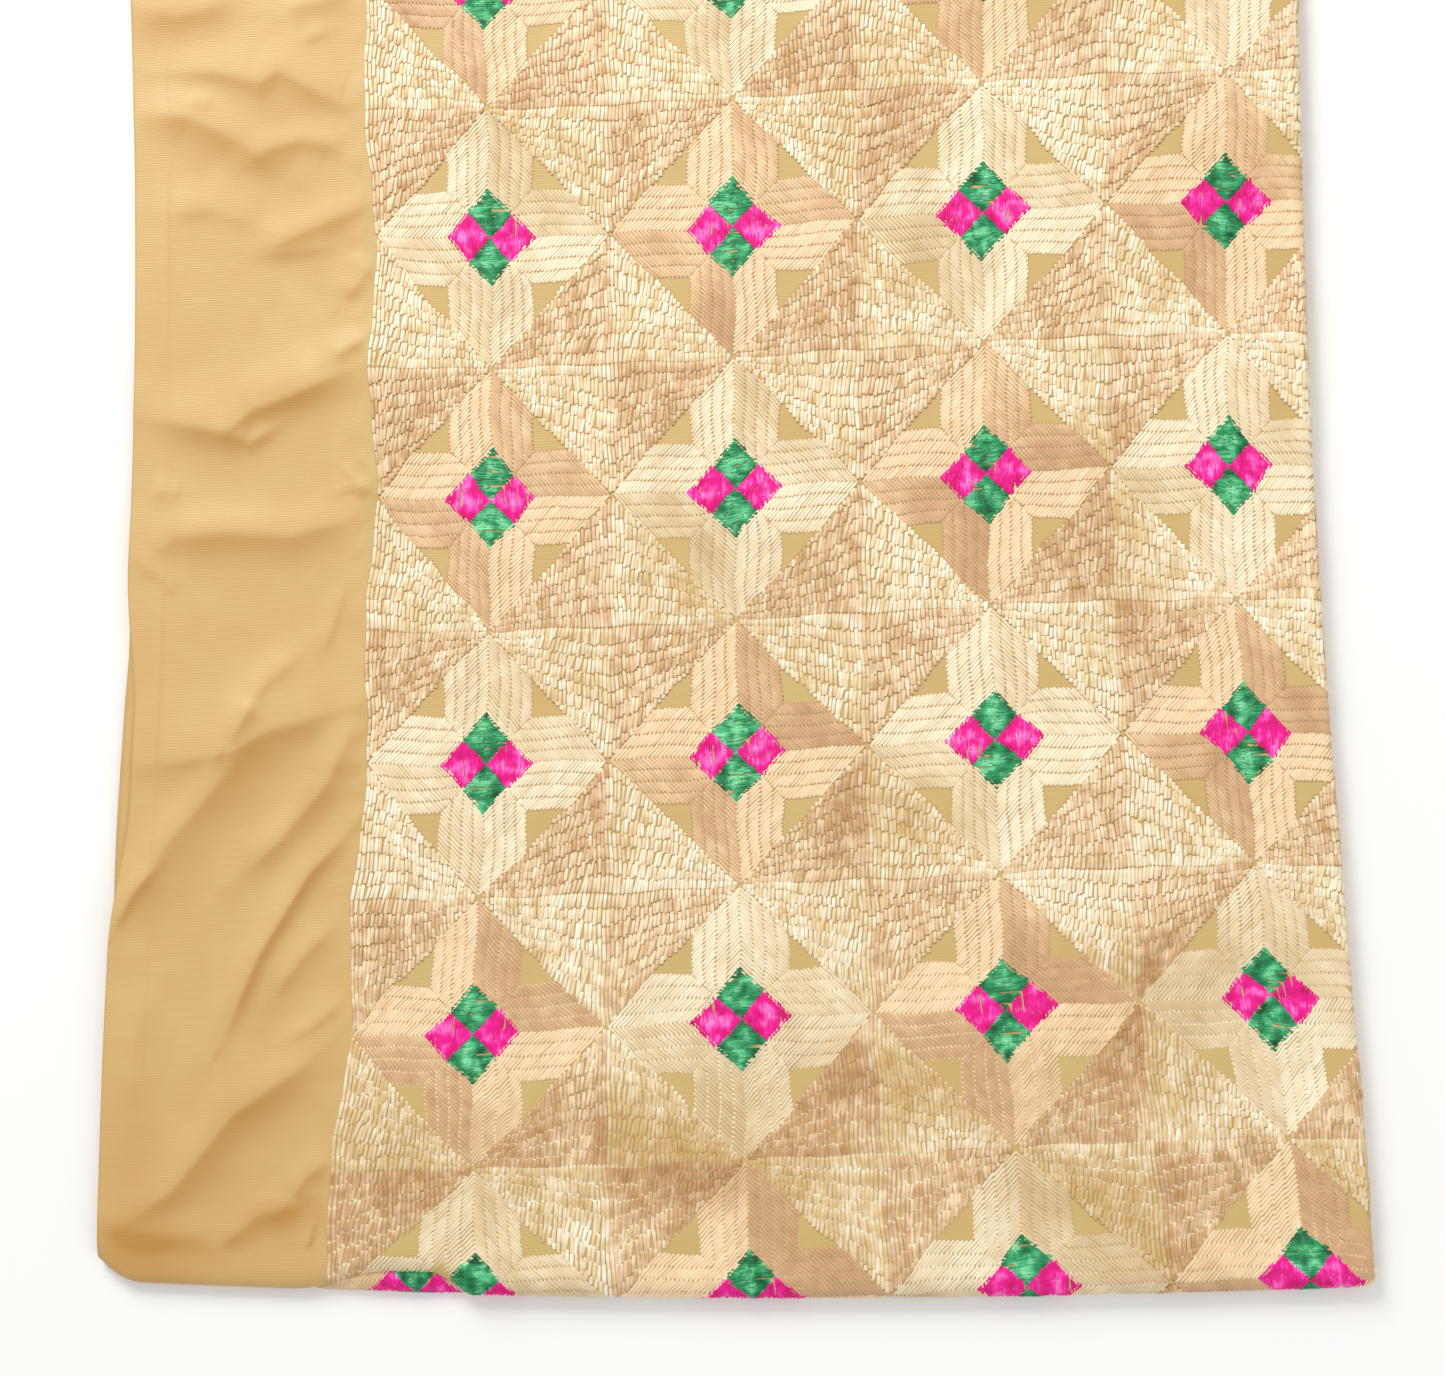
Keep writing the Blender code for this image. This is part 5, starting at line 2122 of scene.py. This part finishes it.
@dataclass(frozen=True)
class Hem:
    """The narrow sewn hem at the far end of the top leaf, as its line of stitches."""

    cloth: FoldedCloth
    inset: float = 6.6
    first: float = -104.0
    last: float = 396.0
    stitch: float = 2.4
    gap: float = 0.8
    width: float = 0.55
    crest: float = 0.35

    def sew(self, work: Embroidery) -> MeshParts:
        """Makes the stitches.

        Args:
            work: The shawl's embroidery.

        Returns:
            Their mesh.
        """
        start = np.arange(self.first, self.last, self.stitch + self.gap)
        a, b = (np.stack([x, self.cloth.far_y(x) - self.inset], axis=1)
                for x in (start, start + self.stitch))
        stitches = gathered([Strokes(a, b, self.width, self.crest)])
        share = np.array([0.0, 0.15, 0.85, 1.0])
        return work.ribbons(self.cloth, stitches, share, np.random.default_rng(5))


# The studio


@dataclass(frozen=True)
class SoftLight:
    """A square soft light: where it stands, what it looks at, its side and its power."""

    name: str
    at: Place
    aim: Place
    size: float
    power: float
    colour: Colour

    def build(self) -> None:
        """Makes the light."""
        light = bpy.data.lights.new(self.name, "AREA")
        light.shape = "SQUARE"
        light.size = self.size
        light.energy = self.power
        light.color = self.colour
        obj = bpy.data.objects.new(self.name, light)
        obj.location = self.at
        aim = Vector(self.aim) - Vector(self.at)
        obj.rotation_euler = aim.to_track_quat("-Z", "Y").to_euler()
        bpy.context.scene.collection.objects.link(obj)


@dataclass(frozen=True)
class Studio:
    """The pale floor, the soft light and the camera at the photograph's angle."""

    frame_width: int = 1445
    focal_pixels: float = 2400.0
    sensor: float = 36.0
    eye: Place = (0.2455, 0.1067, 0.9825)
    right: Place = (0.99486, -0.02097, -0.09902)
    look: Place = (-0.09516, 0.13948, -0.98564)
    floor_half: float = 6.0
    floor_level: float = -0.0002
    sky: Colour = (1.0, 0.99, 0.97)
    sky_strength: float = 0.62
    lamps: tuple[SoftLight, ...] = (
        SoftLight("key", (-0.9, 1.5, 1.3), (0.0, -0.2, 0.0), 1.1, 46.0, (1.0, 0.98, 0.94)),
        SoftLight("fill", (1.3, -1.4, 1.5), (0.0, -0.2, 0.0), 1.6, 12.0, (1.0, 0.99, 0.98)),
    )

    def build(self, cloth: FoldedCloth) -> None:
        """Makes the floor, the lights, the world and the camera.

        Args:
            cloth: The cloth, which tells where the photograph's frame lies.
        """
        self.floor()
        self.lights()
        self.camera(cloth)

    def floor(self) -> None:
        """Makes the floor."""
        mesh = bpy.data.meshes.new("floor")
        edge = self.floor_half
        corners = [(-edge, -edge, 0), (edge, -edge, 0), (edge, edge, 0), (-edge, edge, 0)]
        mesh.from_pydata(corners, [], [(0, 1, 2, 3)])
        obj = bpy.data.objects.new("floor", mesh)
        obj.location.z = self.floor_level
        material, _, surface = bare_material("pale_floor", (0.9, 0.9, 0.9))
        set_inputs(surface, {"Roughness": 0.9, "Specular IOR Level": 0.1})
        mesh.materials.append(material)
        bpy.context.scene.collection.objects.link(obj)

    def lights(self) -> None:
        """Makes the soft key from the upper left, a low fill and an even sky."""
        world = bpy.data.worlds.new("studio")
        bpy.context.scene.world = world
        world.use_nodes = True
        set_inputs(world.node_tree.nodes["Background"],
                   {"Color": self.sky, "Strength": self.sky_strength})
        for lamp in self.lamps:
            lamp.build()

    def camera(self, cloth: FoldedCloth) -> None:
        """Makes the camera.

        Args:
            cloth: The cloth, which tells where the photograph's frame lies.
        """
        data = bpy.data.cameras.new("photo_camera")
        data.sensor_width = self.sensor
        data.lens = self.focal_pixels / self.frame_width * self.sensor
        data.clip_start, data.clip_end = 0.05, 20.0
        obj = bpy.data.objects.new("photo_camera", data)
        right, look = Vector(self.right).normalized(), Vector(self.look).normalized()
        up = right.cross(look)
        turn = Matrix((right, up, -look)).transposed().to_4x4()
        shift = Vector((cloth.shift[0] * MM, cloth.shift[1] * MM, 0.0))
        obj.matrix_world = Matrix.Translation(Vector(self.eye) - shift) @ turn
        bpy.context.scene.collection.objects.link(obj)
        bpy.context.scene.camera = obj
        bpy.context.scene.view_settings.view_transform = "Standard"


# The whole shawl


@dataclass
class Shawl:
    """The whole folded shawl, piece by piece."""

    cloth: FoldedCloth = field(default_factory=FoldedCloth)

    def build(self) -> None:
        """Builds the cloth and sews the floss on it."""
        effects = SharedEffects()
        materials = {finish.name: finish.build(effects) for finish in FINISHES}
        for leaf in (TopLeaf(self.cloth), LowerLeaves(self.cloth), ShownFold(self.cloth)):
            obj = leaf.build(materials["gold_ground"])
            log.info("%s: %d faces", obj.name, len(obj.data.polygons))
        work = Embroidery(self.cloth)
        # How much painted sheen shade each floss gets from its strokes' lean.
        for colour, lean in ((Floss.CREAM, 0.15), (Floss.PEACH, 0.4)):
            name = colour.value
            for across, way in ((False, "along"), (True, "across")):
                petals = work.petals(colour, across)
                sewn = work.sew(self.cloth, f"{name} petals {way}", petals, lean)
                self.add(f"{name}_petals_{way}", sewn, materials[f"{name}_floss"])
            sewn = work.sew(self.cloth, f"{name} lozenges", work.lozenges(colour))
            self.add(f"{name}_lozenges", sewn, materials[f"{name}_satin"])
        for colour in (Floss.GREEN, Floss.PINK):
            sewn = work.sew(self.cloth, f"{colour.value} diamonds", work.diamonds(colour))
            self.add(f"{colour.value}_diamonds", sewn, materials[f"{colour.value}_floss"])
        self.add_lower(work, materials)
        self.add("hem_stitches", Hem(self.cloth).sew(work), materials["cream_floss"])

    def add_lower(self, work: Embroidery, materials: dict[str, bpy.types.Material]) -> None:
        """Sews what shows of the lower leaves' embroidery.

        Args:
            work: The shawl's embroidery.
            materials: Every finish by name.
        """
        fold = ShownFold(self.cloth)
        for colour in (Floss.PEACH, Floss.GREEN, Floss.PINK):
            self.add(f"lower_{colour.value}_strokes", fold.sew(work, colour),
                     materials[f"{colour.value}_floss"], "lower_embroidered_cloth")
        side = LowerFoldSide(self.cloth)
        for colour in (Floss.CREAM, Floss.PEACH):
            strokes = work.petals(colour, False) + work.petals(colour, True)
            sewn = work.sew(side, f"side {colour.value}", strokes + work.lozenges(colour))
            self.add(f"side_{colour.value}_strokes", sewn, materials[f"{colour.value}_floss"])

    def add(self, name: str, parts: MeshParts, material: bpy.types.Material,
            slot: str = "embroidered_cloth") -> None:
        """Adds a piece of floss to the scene.

        Args:
            name: The piece's name.
            parts: Its mesh.
            material: Its material.
            slot: Not used.
        """
        obj = parts.to_object(name, material)
        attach(obj, "root")
        log.info("%s: %d faces", name, len(obj.data.polygons))


def main() -> None:
    """Builds the shawl and the studio."""
    logging.basicConfig(level=logging.INFO, format="%(message)s")
    shawl = Shawl()
    Studio().build(shawl.cloth)
    shawl.build()


if __name__ == "__main__":
    main()
